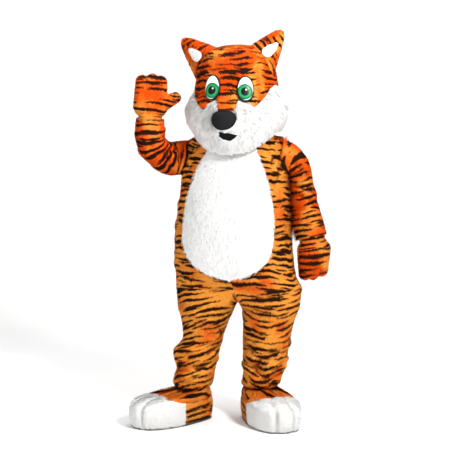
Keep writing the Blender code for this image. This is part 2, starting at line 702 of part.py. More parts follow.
def path_of(table, start):
    """Even stations along a sleeve: distance, place, direction and half sizes."""
    Station = namedtuple("Station", "along x y z half_width half_depth")
    stations, along, before = [], 0.0, start
    for i, row in enumerate((None,) + table):
        place = Vector(row[:3]) if row else start
        size = row or table[0]
        along += (place - before).length
        stations.append(Station(along, *place, size.half_width, size.half_depth))
        before = place
    found = []
    for at in spread(0.0, along, SLEEVE_STEPS):
        low, high = max(0.0, at - 0.006), min(along, at + 0.006)
        place, behind, ahead = (
            Vector([read(stations, c, s) for c in "xyz"]) for s in (at, low, high)
        )
        sizes = read(stations, "half_width", at), read(stations, "half_depth", at)
        found.append((at, place, (ahead - behind).normalized(), *sizes))
    return found


def sleeve(name, table, folds, sign, material):
    """A sleeve set into its armhole: rings square to a bent path, blended from the armhole's oval."""
    start = torso_point(sign * 90, ARMHOLE_CENTRE)
    skins = []
    for depth in (0.0, PLUSH):
        oval = armhole_ring(sign, 0.0, 2 * SEAM + depth)
        rows = [armhole_ring(sign, -PLUSH, 2 * SEAM + depth)]
        up = Vector((0.0, 0.0, 1.0))
        for along, place, ahead, half_width, half_depth in path_of(table, start):
            up = (up - ahead * up.dot(ahead)).normalized()
            front = ahead.cross(up) * sign
            blend = smooth_step(along / SLEEVE_BLEND)
            ring = []
            for i, point in enumerate(oval):
                turn = 180.0 * i / ARMHOLE_STEPS
                c, s = math.cos(math.radians(turn)), math.sin(math.radians(turn))
                out = fold_height(folds, turn, along, half_width) * blend - depth
                round_point = place + up * c * (half_width + out) + front * s * (half_depth + out)
                ring.append((point + place - start).lerp(round_point, blend))
            rows.append(ring)
        skins.append(rows)
    return loft(name, skins[0], skins[1], material, closed=True)


# --- head --------------------------------------------------------------------


def head_matrix():
    turn = Matrix.Rotation(math.radians(HEAD_YAW), 4, "Z") @ Matrix.Rotation(
        math.radians(HEAD_ROLL), 4, "Y"
    )
    return Matrix.Translation(HEAD_PLACE) @ turn


def head_base(angle, height):
    """The head in its own frame, without the muzzle and cheeks."""
    half_width, front, back, drop = (
        read(HEAD, c, height) for c in ("half_width", "front", "back", "drop")
    )
    flat = ring_point(angle, half_width, front, back, HEAD_SQUARENESS)
    hang = drop * max(0.0, math.cos(math.radians(angle))) ** 1.5
    return flat + Vector((0.0, 0.0, height - hang))


def head_point(angle, height, lift=0.0):
    normal = normal_of(head_base, angle, height, HEAD[0].height, HEAD[-1].height)
    lift += fold_height(HEAD_FORMS, angle, height, 0.22)
    return head_matrix() @ (head_base(angle, height) + normal * lift)


def face_edge(angle):
    turn = abs((angle + 180.0) % 360.0 - 180.0)
    return read_straight(FACE_EDGE, "height", turn)


def head_pieces(plush, white):
    low, top = HEAD[0].height, HEAD[-1].height
    side_gap = math.degrees(SHAPED_SEAM / 2 / 0.21)
    face_angles = mirrored(FACE_COLUMNS)
    face_angles[0] += side_gap
    face_angles[-1] -= side_gap
    back_angles = list(BACK_COLUMNS) + [360.0 - a for a in reversed(BACK_COLUMNS[:-1])]
    back_angles[0] += side_gap
    back_angles[-1] -= side_gap
    all_angles = mirrored(FACE_COLUMNS) + list(BACK_COLUMNS[1:])
    all_angles += [360.0 - a for a in reversed(BACK_COLUMNS[1:-1])]
    face = window_panel(
        "face_fur",
        head_point,
        face_angles,
        [low] * len(face_angles),
        [face_edge(a) - SHAPED_SEAM / 2 for a in face_angles],
        8,
        HEAD_WALL,
        white,
        closed=False,
    )
    back = window_panel(
        "head_back",
        head_point,
        back_angles,
        [low] * len(back_angles),
        [face_edge(a) - SHAPED_SEAM / 2 for a in back_angles],
        6,
        HEAD_WALL,
        plush,
        closed=False,
    )
    crown = window_panel(
        "head_crown",
        head_point,
        all_angles,
        [face_edge(a) + SHAPED_SEAM / 2 for a in all_angles],
        [top] * len(all_angles),
        10,
        HEAD_WALL,
        plush,
        closed=True,
        capped=True,
    )
    return [face, back, crown]


def surface_tree(items):
    """The faces of these pieces, to set other pieces on."""
    points, faces = [], []
    for item in items:
        first = len(points)
        points += [v.co.copy() for v in item.data.vertices]
        faces += [[first + v for v in p.vertices] for p in item.data.polygons]
    return BVHTree.FromPolygons(points, faces)


def seated(tree, point, out, lift):
    """The point brought straight down onto the pieces below it, then lifted."""
    hit = tree.ray_cast(point + out * 0.08, -out)[0]
    return hit + out * lift


def oval_rings(tree, middle, out, up, spec, lift, rings, spokes):
    """Rings of an outline, from its middle outwards, laid on the pieces below."""
    side = up.cross(out)
    found = []
    for r in range(1, rings + 1):
        ring = []
        for i in range(spokes):
            turn = 2 * math.pi * i / spokes
            c, s = math.cos(turn), math.sin(turn)
            x = math.copysign(abs(c) ** (2 / spec.squareness), c) * spec.half_width
            z = math.copysign(abs(s) ** (2 / spec.squareness), s) * spec.half_height
            x *= 1 + (spec.top_width - 1) * 0.5 * (1 + z / spec.half_height)
            flat = middle + (side * x + up * z) * (r / rings)
            ring.append(seated(tree, flat, out, lift))
        found.append(ring)
    return found


def fill_disc(maker, hub, rows):
    for i in range(len(rows[0])):
        k = (i + 1) % len(rows[0])
        maker.faces.new((hub, rows[0][i], rows[0][k]))
        for a, b in zip(rows, rows[1:]):
            maker.faces.new((a[i], b[i], b[k], a[k]))


def join_rings(maker, low, high):
    for i in range(len(low)):
        k = (i + 1) % len(low)
        maker.faces.new((low[i], low[k], high[k], high[i]))


def pad(name, spec, tree, middle, out, up, material, rings=4, spokes=18, thin=0.003, seat=SEAT):
    """A domed piece that lies on the surface below it, with a back that follows that surface."""
    up = (up - out * up.dot(out)).normalized()
    backs = oval_rings(tree, middle, out, up, spec, seat, rings, spokes)
    fronts = []
    for r, ring in enumerate(backs):
        rise = thin + spec.rise * math.sqrt(max(0.0, 1 - ((r + 1) / rings) ** 2))
        fronts.append([p + out * rise for p in ring])
    hub = seated(tree, middle, out, seat)
    maker = bmesh.new()
    rims = []
    for grid, rise in ((backs, 0.0), (fronts, thin + spec.rise)):
        rows = [[maker.verts.new(p) for p in row] for row in grid]
        fill_disc(maker, maker.verts.new(hub + out * rise), rows)
        rims.append(rows[-1])
    join_rings(maker, *rims)
    return add_object(name, maker, material)


def face_pad(name, spec, tree, material, **options):
    middle = head_point(spec.angle, spec.height)
    out = normal_of(head_point, spec.angle, spec.height, -1.0, 1.0)
    return pad(name, spec, tree, middle, out, Vector((0, 0, 1)), material, **options)


def ear(name, spec, tree, material):
    """A padded ear from an oval base on the head to a blunt tip."""
    spokes, rows = 18, 7
    turn = head_matrix().to_3x3()
    tip = head_matrix() @ spec.tip
    middle = head_point(spec.angle, spec.height)
    out = normal_of(head_point, spec.angle, spec.height, -1.0, 1.0)
    lean = turn @ Vector((-math.copysign(spec.lean, spec.angle), 0.0, 1.0))
    up = (lean - out * lean.dot(out)).normalized()
    base = Pad(0, 0, spec.half_depth, spec.half_length, 0, 2.0, 1.0)
    backs = oval_rings(tree, middle, out, up, base, EAR_SEAT, 4, spokes)
    grid = [backs[-1]]
    for r in range(1, rows + 1):
        share = r / rows
        narrow = (1 - share**1.15) * (1 - spec.tip_share) + spec.tip_share
        if r == rows:
            narrow *= 0.6
        centre = middle.lerp(tip, min(1.0, share * 1.04))
        grid.append([centre + (p - middle) * narrow for p in backs[-1]])
    maker = bmesh.new()
    under = [[maker.verts.new(p) for p in row] for row in backs]
    fill_disc(maker, maker.verts.new(seated(tree, middle, out, EAR_SEAT)), under)
    low = under[-1]
    for row in grid[1:]:
        high = [maker.verts.new(p) for p in row]
        join_rings(maker, low, high)
        low = high
    maker.faces.new(low)
    return add_object(name, maker, material)


def ear_lining(name, spec, shell, material):
    """The white patch on an ear's front."""
    turn = head_matrix().to_3x3()
    middle = head_point(spec.angle, spec.height).lerp(head_matrix() @ spec.tip, LINING_SHARE)
    patch = LINING
    up = turn @ Vector((math.copysign(0.75, spec.angle), 0.0, 0.66))
    out = turn @ Vector((0.0, -1.0, 0.0))
    tree = surface_tree([shell])
    return pad(name, patch, tree, middle, out, up, material, rings=3, spokes=12, seat=LINING_SEAT)


# --- boots -------------------------------------------------------------------


def boot_base(angle, height):
    half_width, front, back, squareness = (read(BOOT, c, height) for c in BootRow._fields[2:])
    flat = ring_point(angle, half_width, front, back, squareness)
    flat.x *= 1 - HEEL_TAPER * smooth_step((flat.y + 0.12) / 0.22) * smooth_step((0.155 - height) / 0.04)
    return flat + Vector((0.0, read(BOOT, "centre_y", height), height))


def boot_surface(placed):
    """The boot's outer face in the world: a function of angle, height and lift."""
    matrix = Matrix.Translation(placed.place) @ Matrix.Rotation(math.radians(placed.yaw), 4, "Z")

    def point(angle, height, lift=0.0):
        normal = normal_of(boot_base, angle, height, BOOT[0].height, BOOT[-1].height)
        low_share = smooth_step((height - BOOT[0].height) / 0.02)
        level = Vector((normal.x, normal.y, 0.0)).normalized()
        normal = level.lerp(normal, low_share).normalized()
        lift += fold_height(TOE_CREASES, angle, height, 0.2)
        return matrix @ (boot_base(angle, height) + normal * lift)

    return point


def boot_pieces(hand, placed, plush, white, rubber):
    point = boot_surface(placed)
    low, top = BOOT[0].height, BOOT[-1].height
    side_gap = math.degrees(SHAPED_SEAM / 2 / 0.20)

    def edge(angle):
        return read_straight(TOE_EDGE, "height", abs((angle + 180.0) % 360.0 - 180.0))

    toe_angles = mirrored(TOE_COLUMNS)
    toe_angles[0] += side_gap
    toe_angles[-1] -= side_gap
    heel_angles = list(HEEL_COLUMNS) + [360.0 - a for a in reversed(HEEL_COLUMNS[:-1])]
    heel_angles[0] += side_gap
    heel_angles[-1] -= side_gap
    all_angles = mirrored(TOE_COLUMNS) + list(HEEL_COLUMNS[1:])
    all_angles += [360.0 - a for a in reversed(HEEL_COLUMNS[1:-1])]
    toes = window_panel(
        f"boot_{hand}_toes",
        point,
        toe_angles,
        [low] * len(toe_angles),
        [edge(a) - SHAPED_SEAM / 2 for a in toe_angles],
        6,
        BOOT_WALL,
        white,
        closed=False,
    )
    heel = window_panel(
        f"boot_{hand}_heel",
        point,
        heel_angles,
        [low] * len(heel_angles),
        [edge(a) - SHAPED_SEAM / 2 for a in heel_angles],
        4,
        BOOT_WALL,
        plush,
        closed=False,
    )
    upper = window_panel(
        f"boot_{hand}_upper",
        point,
        all_angles,
        [edge(a) + SHAPED_SEAM / 2 for a in all_angles],
        [top] * len(all_angles),
        6,
        BOOT_WALL,
        plush,
        closed=True,
    )
    maker = bmesh.new()
    outline = mirrored(tuple(a for a in TOE_COLUMNS if a not in (9, 17)))
    outline += list(HEEL_COLUMNS[1:]) + [360.0 - a for a in reversed(HEEL_COLUMNS[1:-1])]
    rings = []
    for height in (0.0, SOLE_THICKNESS):
        ring = []
        for angle in outline:
            place = point(angle, low, SOLE_EDGE)
            ring.append(maker.verts.new((place.x, place.y, height)))
        rings.append(ring)
    for i in range(len(outline)):
        k = (i + 1) % len(outline)
        maker.faces.new((rings[0][i], rings[0][k], rings[1][k], rings[1][i]))
    maker.faces.new(list(reversed(rings[0])))
    maker.faces.new(rings[1])
    sole = add_object(f"boot_{hand}_sole", maker, rubber)
    return [toes, heel, upper, sole]


# --- paws --------------------------------------------------------------------


def paw_matrix(paw):
    x, y, z = (math.radians(t) for t in paw.turn)
    turn = Matrix.Rotation(z, 4, "Z") @ Matrix.Rotation(y, 4, "Y") @ Matrix.Rotation(x, 4, "X")
    return Matrix.Translation(paw.place) @ turn @ Matrix.Scale(paw.mirror, 4, Vector((1, 0, 0)))


def curled(point, low, curl):
    """The point turned towards the palm about the root of its finger."""
    turn = Matrix.Rotation(math.radians(curl), 3, "X")
    return low + turn @ (point - low)


def lobe_solid(maker, lobe, matrix, curl, thinner, reach=0.0):
    """A round-ended finger or cuff between two spheres, as a closed body."""
    low = lobe.low
    high = curled(lobe.high, lobe.low, curl)
    axis = (high - low).normalized()
    side = axis.orthogonal().normalized()
    across = axis.cross(side)
    steps, round_rows = 20, 5
    low_radius, high_radius = lobe.low_radius - thinner, lobe.high_radius - thinner
    rings = []
    for i in range(1, round_rows + 1):
        turn = math.pi / 2 * (1 - i / round_rows)
        below = low_radius * math.sin(turn) + reach
        rings.append((low - axis * below, low_radius * math.cos(turn)))
    for i in range(round_rows):
        turn = math.pi / 2 * i / round_rows
        rings.append((high + axis * high_radius * math.sin(turn), high_radius * math.cos(turn)))
    loops = []
    for centre, radius in rings:
        loop = []
        for i in range(steps):
            turn = 2 * math.pi * i / steps
            place = centre + (side * math.cos(turn) + across * math.sin(turn)) * radius
            loop.append(maker.verts.new(matrix @ place))
        loops.append(loop)
    poles = [
        maker.verts.new(matrix @ (low - axis * (low_radius + reach))),
        maker.verts.new(matrix @ (high + axis * high_radius)),
    ]
    for a, b in zip(loops, loops[1:]):
        for i in range(steps):
            k = (i + 1) % steps
            maker.faces.new((a[i], a[k], b[k], b[i]))
    for pole, loop in zip(poles, (loops[0], loops[-1])):
        for i in range(steps):
            maker.faces.new((pole, loop[i], loop[(i + 1) % steps]))


def tube_solid(maker, radius, low, high, matrix):
    """The cuff: a plain tube body with flat ends."""
    bmesh.ops.create_cone(
        maker,
        cap_ends=True,
        segments=28,
        radius1=radius,
        radius2=radius,
        depth=high - low,
        matrix=matrix @ Matrix.Translation(Vector((0.0, 0.0, (low + high) / 2))),
    )


def paw_body(name, paw, thinner, reach, material):
    maker = bmesh.new()
    matrix = paw_matrix(paw)
    tube_solid(maker, paw.cuff_radius - thinner, CUFF.low - reach, CUFF.high, matrix)
    for lobe in (*PAW_LOBES, Lobe(THUMB_ROOT, paw.thumb_tip, *THUMB_RADII)):
        lobe_solid(maker, lobe, matrix, paw.curl, thinner)
    item = add_object(name, maker, material)
    remesh = item.modifiers.new("one_skin", "REMESH")
    remesh.mode = "VOXEL"
    remesh.voxel_size = PAW_VOXEL
    relax = item.modifiers.new("relax", "SMOOTH")
    relax.factor = 0.5
    relax.iterations = 4
    fewer = item.modifiers.new("fewer", "DECIMATE")
    fewer.ratio = PAW_TRIANGLES_KEPT
    return item


def paw_glove(name, paw, material, parts, cutters):
    """A stuffed-looking paw, hollow for the hand, with its cuff open."""
    hollow = paw_body(f"{name}_hollow", paw, PAW_WALL, 0.02, None)
    hollow.hide_render = True
    hollow.display_type = "WIRE"
    cutters.objects.link(hollow)
    glove = paw_body(name, paw, 0.0, 0.0, material)
    parts.objects.link(glove)
    cut = glove.modifiers.new("hollow", "BOOLEAN")
    cut.operation = "DIFFERENCE"
    cut.solver = "MANIFOLD"
    cut.object = hollow


# --- assembly ----------------------------------------------------------------


def main():
    clear_scene()
    parts = make_collection("tiger_costume")
    cutters = make_collection("cutters")
    looks = {name: make_material(name, finish) for name, finish in FINISHES.items()}
    plush, white = looks["tiger_plush"], looks["white_pile"]

    items = [
        belly_panel("belly", white),
        front_panel("front_left", 1, plush),
        front_panel("front_right", -1, plush),
        back_panel("back_left", 1, plush),
        back_panel("back_right", -1, plush),
        zip_strip("back_zip", looks["zip_tape"]),
        leg("leg_left", LEG_LEFT, LEG_LEFT_FOLDS, 1, plush),
        leg("leg_right", LEG_RIGHT, LEG_RIGHT_FOLDS, -1, plush),
        sleeve("sleeve_left", SLEEVE_LEFT, SLEEVE_LEFT_FOLDS, 1, plush),
        sleeve("sleeve_right", SLEEVE_RIGHT, SLEEVE_RIGHT_FOLDS, -1, plush),
    ]
    items += boot_pieces("left", BOOT_LEFT, plush, white, looks["sole_rubber"])
    items += boot_pieces("right", BOOT_RIGHT, plush, white, looks["sole_rubber"])
    head = head_pieces(plush, white)
    tree = surface_tree(head)
    items += head
    ears = [
        ear("ear_left", EAR_LEFT, tree, plush),
        ear("ear_right", EAR_RIGHT, tree, plush),
    ]
    items += ears
    items += [
        face_pad("eye_left", EYE_LEFT, tree, looks["eye_plastic"]),
        face_pad("eye_right", EYE_RIGHT, tree, looks["eye_plastic"]),
        face_pad("nose", NOSE, tree, looks["black_foam"], rings=6, seat=NOSE_SEAT),
        face_pad("mouth", MOUTH, tree, looks["black_foam"], rings=3, seat=2 * SEAT),
        ear_lining("ear_left_lining", EAR_LEFT, ears[0], white),
        ear_lining("ear_right_lining", EAR_RIGHT, ears[1], white),
    ]
    for item in items:
        parts.objects.link(item)
    paw_glove("paw_left", PAW_LEFT, plush, parts, cutters)
    paw_glove("paw_right", PAW_RIGHT, plush, parts, cutters)

    lower = Matrix.Translation(Vector((0.0, 0.0, -SHOULDER_HEIGHT)))
    for item in list(parts.objects) + list(cutters.objects):
        item.data.transform(lower)


main()
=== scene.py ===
"""Looks of the tiger costume: thin fur-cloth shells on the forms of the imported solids, their pile,
creases, seams and zip, the eyes and nose, a pale floor, soft light and the camera. Sizes and
tables are in metres above the floor and degrees; lowered() brings a point to the frame.
"""

import math
from collections import namedtuple

import bmesh
import bpy
import numpy as np
from mathutils import Matrix, Vector
from mathutils.bvhtree import BVHTree
from mathutils.kdtree import KDTree


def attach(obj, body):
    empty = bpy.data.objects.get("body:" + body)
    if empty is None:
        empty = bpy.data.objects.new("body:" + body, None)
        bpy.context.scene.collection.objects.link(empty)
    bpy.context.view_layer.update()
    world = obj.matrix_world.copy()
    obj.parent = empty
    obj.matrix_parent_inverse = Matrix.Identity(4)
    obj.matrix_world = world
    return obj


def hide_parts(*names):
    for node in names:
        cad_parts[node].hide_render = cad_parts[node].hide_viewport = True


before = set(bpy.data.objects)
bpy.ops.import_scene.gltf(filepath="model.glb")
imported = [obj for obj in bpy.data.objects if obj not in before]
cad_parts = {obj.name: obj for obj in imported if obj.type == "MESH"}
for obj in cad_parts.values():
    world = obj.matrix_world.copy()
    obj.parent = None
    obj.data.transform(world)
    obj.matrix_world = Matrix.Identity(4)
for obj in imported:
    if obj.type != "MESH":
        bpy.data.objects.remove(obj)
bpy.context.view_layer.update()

# The part's own sizes
SHOULDER_HEIGHT = 1.360  # the suit hangs from here: the world's origin
HIP = 0.640  # torso above, legs below
CROTCH = 0.581
NECKLINE = 1.383
ARMHOLE_CENTRE = 1.262
ARMHOLE_HALF_HEIGHT = 0.086
ARMHOLE_HALF_ANGLE = 29.0  # to the front and to the back of the side seam
BELLY_LOW = 0.694  # lower end of the egg-shaped belly
ZIP_LOW = 0.780
ZIP_HALF_WIDTH = 0.007
TORSO_YAW = -9.0  # the chest turns to the wearer's right
TORSO_SQUARENESS = 2.3  # exponent of the torso's superellipse
HEAD_YAW = -13.0
HEAD_ROLL = -1.5
HEAD_PLACE = Vector((0.006, -0.012, 1.5124))
HEAD_SQUARENESS = 2.25
PLUSH = 0.008  # backing, lining and short pile
LONG_PILE = 0.016  # backing and long white pile
PAW_WALL = 0.011
SEAM = 0.0003  # pieces stay this far apart
SHAPED_SEAM = 0.0005  # the same where the seam crosses tight curves
BELLY_SEAM = 0.0012  # round the belly, where thick pile meets thin
SLEEVE_BLEND = 0.070  # an armhole's oval turns into the sleeve's ring over this length
CROTCH_REACH = 54.0  # of a leg's ring, either side of its inner line, at the crotch seam


def table(fields, *rows):
    """Rows whose columns have these names."""
    kind = namedtuple("Row", fields)
    return tuple(kind(*row) for row in rows)


# A row for each section, from the bottom up or from the shoulder out
TORSO = table(
    "height centre_x half_width front back",
    (0.64, 0.0135, 0.3065, 0.17, 0.168), (0.7, -0.002, 0.29, 0.2, 0.182),
    (0.78, -0.0085, 0.2885, 0.222, 0.184), (0.87, -0.0145, 0.283, 0.228, 0.174),
    (0.96, -0.012, 0.276, 0.22, 0.164), (1.046, -0.0105, 0.2675, 0.202, 0.158),
    (1.13, -0.0095, 0.259, 0.18, 0.154), (1.22, -0.006, 0.254, 0.156, 0.146),
    (1.29, 0, 0.249, 0.136, 0.134), (1.33, 0, 0.239, 0.125, 0.126), (1.357, 0, 0.21, 0.114, 0.116),
    (1.372, 0, 0.164, 0.106, 0.11), (1.383, 0, 0.124, 0.1, 0.104),
)
BELLY = table(
    "height half_width",
    (0.694, 0.014), (0.699, 0.048), (0.708, 0.082), (0.724, 0.114), (0.75, 0.155), (0.79, 0.189),
    (0.84, 0.206), (0.91, 0.212), (0.99, 0.208), (1.06, 0.196), (1.13, 0.179), (1.21, 0.151),
    (1.29, 0.112), (1.383, 0.07),
)
LIMB = "height centre_x centre_y half_width half_depth"
LEG_RIGHT = table(
    LIMB,
    (0.16, -0.209, 0.018, 0.0912, 0.0912), (0.174, -0.209, 0.018, 0.098, 0.1),
    (0.19, -0.206, 0.017, 0.099, 0.101), (0.24, -0.197, 0.008, 0.098, 0.103),
    (0.298, -0.19, 0, 0.105, 0.108), (0.35, -0.178, -0.006, 0.107, 0.112),
    (0.39, -0.16, -0.008, 0.1, 0.114), (0.43, -0.154, -0.006, 0.105, 0.122),
    (0.48, -0.148, -0.003, 0.118, 0.132), (0.535, -0.143, 0, 0.137, 0.156),
)
LEG_LEFT = table(
    LIMB,
    (0.16, 0.118, 0.024, 0.0908, 0.0908), (0.174, 0.12, 0.022, 0.098, 0.1),
    (0.19, 0.125, 0.018, 0.098, 0.101), (0.24, 0.136, 0.008, 0.102, 0.106),
    (0.298, 0.139, 0, 0.109, 0.112), (0.355, 0.144, -0.005, 0.114, 0.117),
    (0.413, 0.149, -0.006, 0.119, 0.124), (0.47, 0.156, -0.003, 0.126, 0.133),
    (0.535, 0.1665, 0, 0.141, 0.156),
)
# Along a sleeve: the ring's centre, its half width in the plane of the bend and its half depth
# across it
SLEEVE = "x y z half_width half_depth"
SLEEVE_RIGHT = table(
    SLEEVE,
    (-0.285, 0.028, 1.258, 0.0845, 0.078), (-0.314, 0.014, 1.254, 0.082, 0.078),
    (-0.344, -0.004, 1.262, 0.076, 0.079), (-0.37, -0.024, 1.282, 0.0725, 0.079),
    (-0.391, -0.046, 1.312, 0.0725, 0.078), (-0.402, -0.066, 1.345, 0.072, 0.076),
    (-0.405, -0.085, 1.39, 0.0695, 0.073), (-0.403, -0.095, 1.435, 0.068, 0.069),
)
SLEEVE_LEFT = table(
    SLEEVE,
    (0.274, -0.038, 1.248, 0.078, 0.079), (0.286, -0.038, 1.226, 0.066, 0.08),
    (0.299, -0.039, 1.2, 0.056, 0.08), (0.3065, -0.04, 1.172, 0.054, 0.08),
    (0.3122, -0.042, 1.135, 0.0578, 0.079), (0.3187, -0.045, 1.09, 0.0613, 0.078),
    (0.3266, -0.049, 1.04, 0.0654, 0.078), (0.3348, -0.053, 0.99, 0.0692, 0.078),
    (0.3442, -0.058, 0.94, 0.0738, 0.078), (0.357, -0.064, 0.88, 0.076, 0.077),
)

# The part's folds, and the creases on top of them: where each one's middle is, how far it runs,
# how wide it is, how far it stands out, and its slope. On a leg, angle 0 is the front and 90 the
# outer side; on a sleeve, 0 is the top of the armhole, 90 the front, and height is the distance
# from the armhole.
FOLD = "angle height length width out slope"
TORSO_FOLDS = table(
    FOLD,
    (54, 1.27, 0.11, 0.018, 0.01, 62), (62, 1.18, 0.11, 0.02, -0.008, 55),
    (70, 1.08, 0.09, 0.02, 0.008, -25), (76, 1.01, 0.08, 0.018, -0.006, -18),
    (-60, 1.15, 0.09, 0.018, 0.009, 24), (-70, 1.1, 0.09, 0.018, -0.007, 30),
    (-74, 1.04, 0.08, 0.02, 0.006, 20), (-78, 0.76, 0.11, 0.022, 0.007, 8),
    (80, 0.72, 0.11, 0.022, 0.007, -10), (128, 1.21, 0.12, 0.02, 0.009, -60),
    (-128, 1.21, 0.12, 0.02, 0.009, 60), (140, 0.98, 0.13, 0.024, -0.008, -14),
    (-146, 0.92, 0.12, 0.024, 0.008, 12), (130, 0.76, 0.13, 0.026, 0.009, 10),
    (-132, 0.74, 0.12, 0.026, -0.008, -10),
)
TORSO_CREASES = table(
    FOLD,
    (50, 1.235, 0.081, 0.0145, -0.0113, 66), (68, 1.225, 0.092, 0.0145, -0.0113, 50),
    (44, 1.3, 0.06, 0.013, 0.0072, 70), (78, 1.14, 0.06, 0.013, 0.0072, 10),
    (72, 0.94, 0.07, 0.0156, -0.0058, -12), (66, 0.85, 0.07, 0.0156, 0.0058, 8),
    (-52, 1.2, 0.081, 0.016, -0.0113, 40), (-42, 1.322, 0.078, 0.019, -0.015, 30),
    (-56, 1.29, 0.07, 0.016, -0.013, 62), (-66, 1.19, 0.07, 0.0117, 0.0072, 12),
    (-80, 1.06, 0.06, 0.013, -0.0072, 4), (-76, 0.94, 0.08, 0.0156, 0.0058, -14),
    (-70, 0.84, 0.07, 0.0156, -0.0058, 10), (30, 0.668, 0.09, 0.013, -0.0072, 14),
    (-28, 0.672, 0.09, 0.013, -0.0072, -16), (-8, 0.684, 0.06, 0.0104, 0.0058, 4),
    (112, 1.16, 0.092, 0.016, -0.0113, -50), (-110, 1.17, 0.092, 0.016, -0.0113, 48),
    (160, 0.88, 0.09, 0.0182, 0.0072, 8), (-166, 1.04, 0.08, 0.0182, -0.0058, -6),
    (120, 0.86, 0.08, 0.0156, -0.0072, 20), (-118, 0.85, 0.08, 0.0156, 0.0072, -16),
    (90, 1.13, 0.11, 0.026, 0.0034, 86), (92, 0.965, 0.12, 0.03, 0.0064, 94),
    (91, 1.075, 0.08, 0.03, 0.0062, 92), (58, 1.27, 0.08, 0.0156, 0.007, 62),
)
LEG_RIGHT_FOLDS = table(
    FOLD,
    (30, 0.352, 0.15, 0.02, 0.013, 10), (90, 0.336, 0.15, 0.02, 0.013, 4),
    (10, 0.318, 0.16, 0.017, -0.011, -12), (60, 0.288, 0.15, 0.017, 0.012, 14),
    (-10, 0.262, 0.12, 0.016, -0.01, 8), (90, 0.24, 0.14, 0.017, -0.009, -10),
    (20, 0.22, 0.16, 0.016, 0.011, -6), (40, 0.192, 0.15, 0.015, -0.009, 10),
    (190, 0.352, 0.15, 0.02, -0.012, 4), (170, 0.305, 0.15, 0.018, 0.012, -8),
    (200, 0.255, 0.15, 0.018, -0.01, 10), (180, 0.205, 0.15, 0.017, 0.01, -8),
    (-10, 0.48, 0.12, 0.022, 0.009, 38), (190, 0.49, 0.14, 0.024, 0.009, -20),
)
LEG_RIGHT_CREASES = table(
    FOLD,
    (-50, 0.335, 0.103, 0.0176, -0.0156, -8), (-25, 0.262, 0.115, 0.016, -0.0156, -14),
    (10, 0.232, 0.115, 0.016, -0.013, 10), (0, 0.3, 0.115, 0.0192, 0.0104, -6),
    (44, 0.35, 0.103, 0.016, -0.0117, 12), (-20, 0.232, 0.092, 0.0145, -0.0113, 20),
    (50, 0.262, 0.092, 0.0145, -0.0131, -18), (110, 0.3, 0.092, 0.0145, -0.0113, 14),
    (130, 0.24, 0.103, 0.016, 0.0113, -12), (230, 0.33, 0.092, 0.0145, -0.0113, -16),
    (250, 0.28, 0.092, 0.0145, 0.0113, 18), (-30, 0.395, 0.07, 0.013, 0.0072, 26),
    (20, 0.54, 0.09, 0.0156, -0.0072, 36), (300, 0.44, 0.103, 0.0192, -0.0113, 30),
)
LEG_LEFT_FOLDS = table(
    FOLD,
    (-20, 0.33, 0.14, 0.018, 0.012, 36), (0, 0.29, 0.14, 0.016, -0.012, 38),
    (10, 0.252, 0.13, 0.016, 0.013, 34), (-40, 0.235, 0.1, 0.016, -0.011, -40),
    (30, 0.21, 0.13, 0.015, -0.01, 20), (60, 0.255, 0.12, 0.018, 0.01, -14),
    (0, 0.186, 0.15, 0.014, 0.01, 4), (-40, 0.385, 0.14, 0.018, -0.008, 32),
    (70, 0.38, 0.11, 0.018, 0.009, -22), (180, 0.37, 0.15, 0.02, -0.012, -4),
    (190, 0.315, 0.15, 0.018, 0.012, 10), (170, 0.26, 0.15, 0.018, -0.01, -8),
    (180, 0.205, 0.15, 0.017, 0.01, 8), (-50, 0.48, 0.12, 0.022, 0.008, 50),
    (190, 0.49, 0.14, 0.024, 0.009, 20),
)
LEG_LEFT_CREASES = table(
    FOLD,
    (-40, 0.33, 0.115, 0.016, -0.013, -35), (-20, 0.238, 0.138, 0.016, -0.0156, -28),
    (-5, 0.268, 0.115, 0.016, -0.013, -24), (15, 0.252, 0.103, 0.0145, 0.0104, -26),
    (36, 0.292, 0.103, 0.016, -0.0117, -16), (-10, 0.312, 0.103, 0.0145, -0.0131, 40),
    (-30, 0.272, 0.092, 0.0145, -0.0113, 30), (20, 0.232, 0.092, 0.0145, -0.0131, 32),
    (50, 0.33, 0.081, 0.0145, -0.0113, -30), (80, 0.3, 0.081, 0.0145, 0.0113, -24),
    (110, 0.22, 0.092, 0.0145, -0.0113, 10), (230, 0.35, 0.092, 0.016, -0.0113, 14),
    (260, 0.26, 0.092, 0.016, 0.0113, -14), (-50, 0.44, 0.09, 0.0156, -0.0072, 44),
    (300, 0.48, 0.09, 0.0156, 0.0072, -30),
)
SLEEVE_RIGHT_FOLDS = table(
    FOLD,
    (0, 0.1, 0.1, 0.014, -0.007, 0), (60, 0.06, 0.11, 0.015, 0.009, 30),
    (80, 0.105, 0.11, 0.015, -0.008, 24), (70, 0.15, 0.12, 0.014, 0.009, 18),
    (-60, 0.08, 0.11, 0.015, 0.009, -28), (-70, 0.14, 0.11, 0.015, -0.008, -22),
    (180, 0.25, 0.1, 0.018, 0.006, 4), (90, 0.23, 0.1, 0.016, -0.006, -6),
)
SLEEVE_RIGHT_CREASES = table(
    FOLD,
    (60, 0.06, 0.081, 0.0145, -0.0156, 70), (120, 0.1, 0.081, 0.0145, -0.0156, -30),
    (80, 0.11, 0.069, 0.016, 0.0104, 60), (100, 0.145, 0.081, 0.0145, -0.0143, 20),
    (60, 0.2, 0.092, 0.016, -0.0104, -14), (90, 0.04, 0.069, 0.0145, -0.0131, 50),
    (110, 0.085, 0.07, 0.0104, 0.0072, 40), (70, 0.128, 0.081, 0.0145, -0.0113, 26),
    (110, 0.175, 0.07, 0.0104, -0.0072, 12), (40, 0.275, 0.06, 0.013, 0.0058, -10),
    (240, 0.12, 0.081, 0.0145, -0.0113, -20), (200, 0.19, 0.07, 0.0117, 0.0072, 8),
)
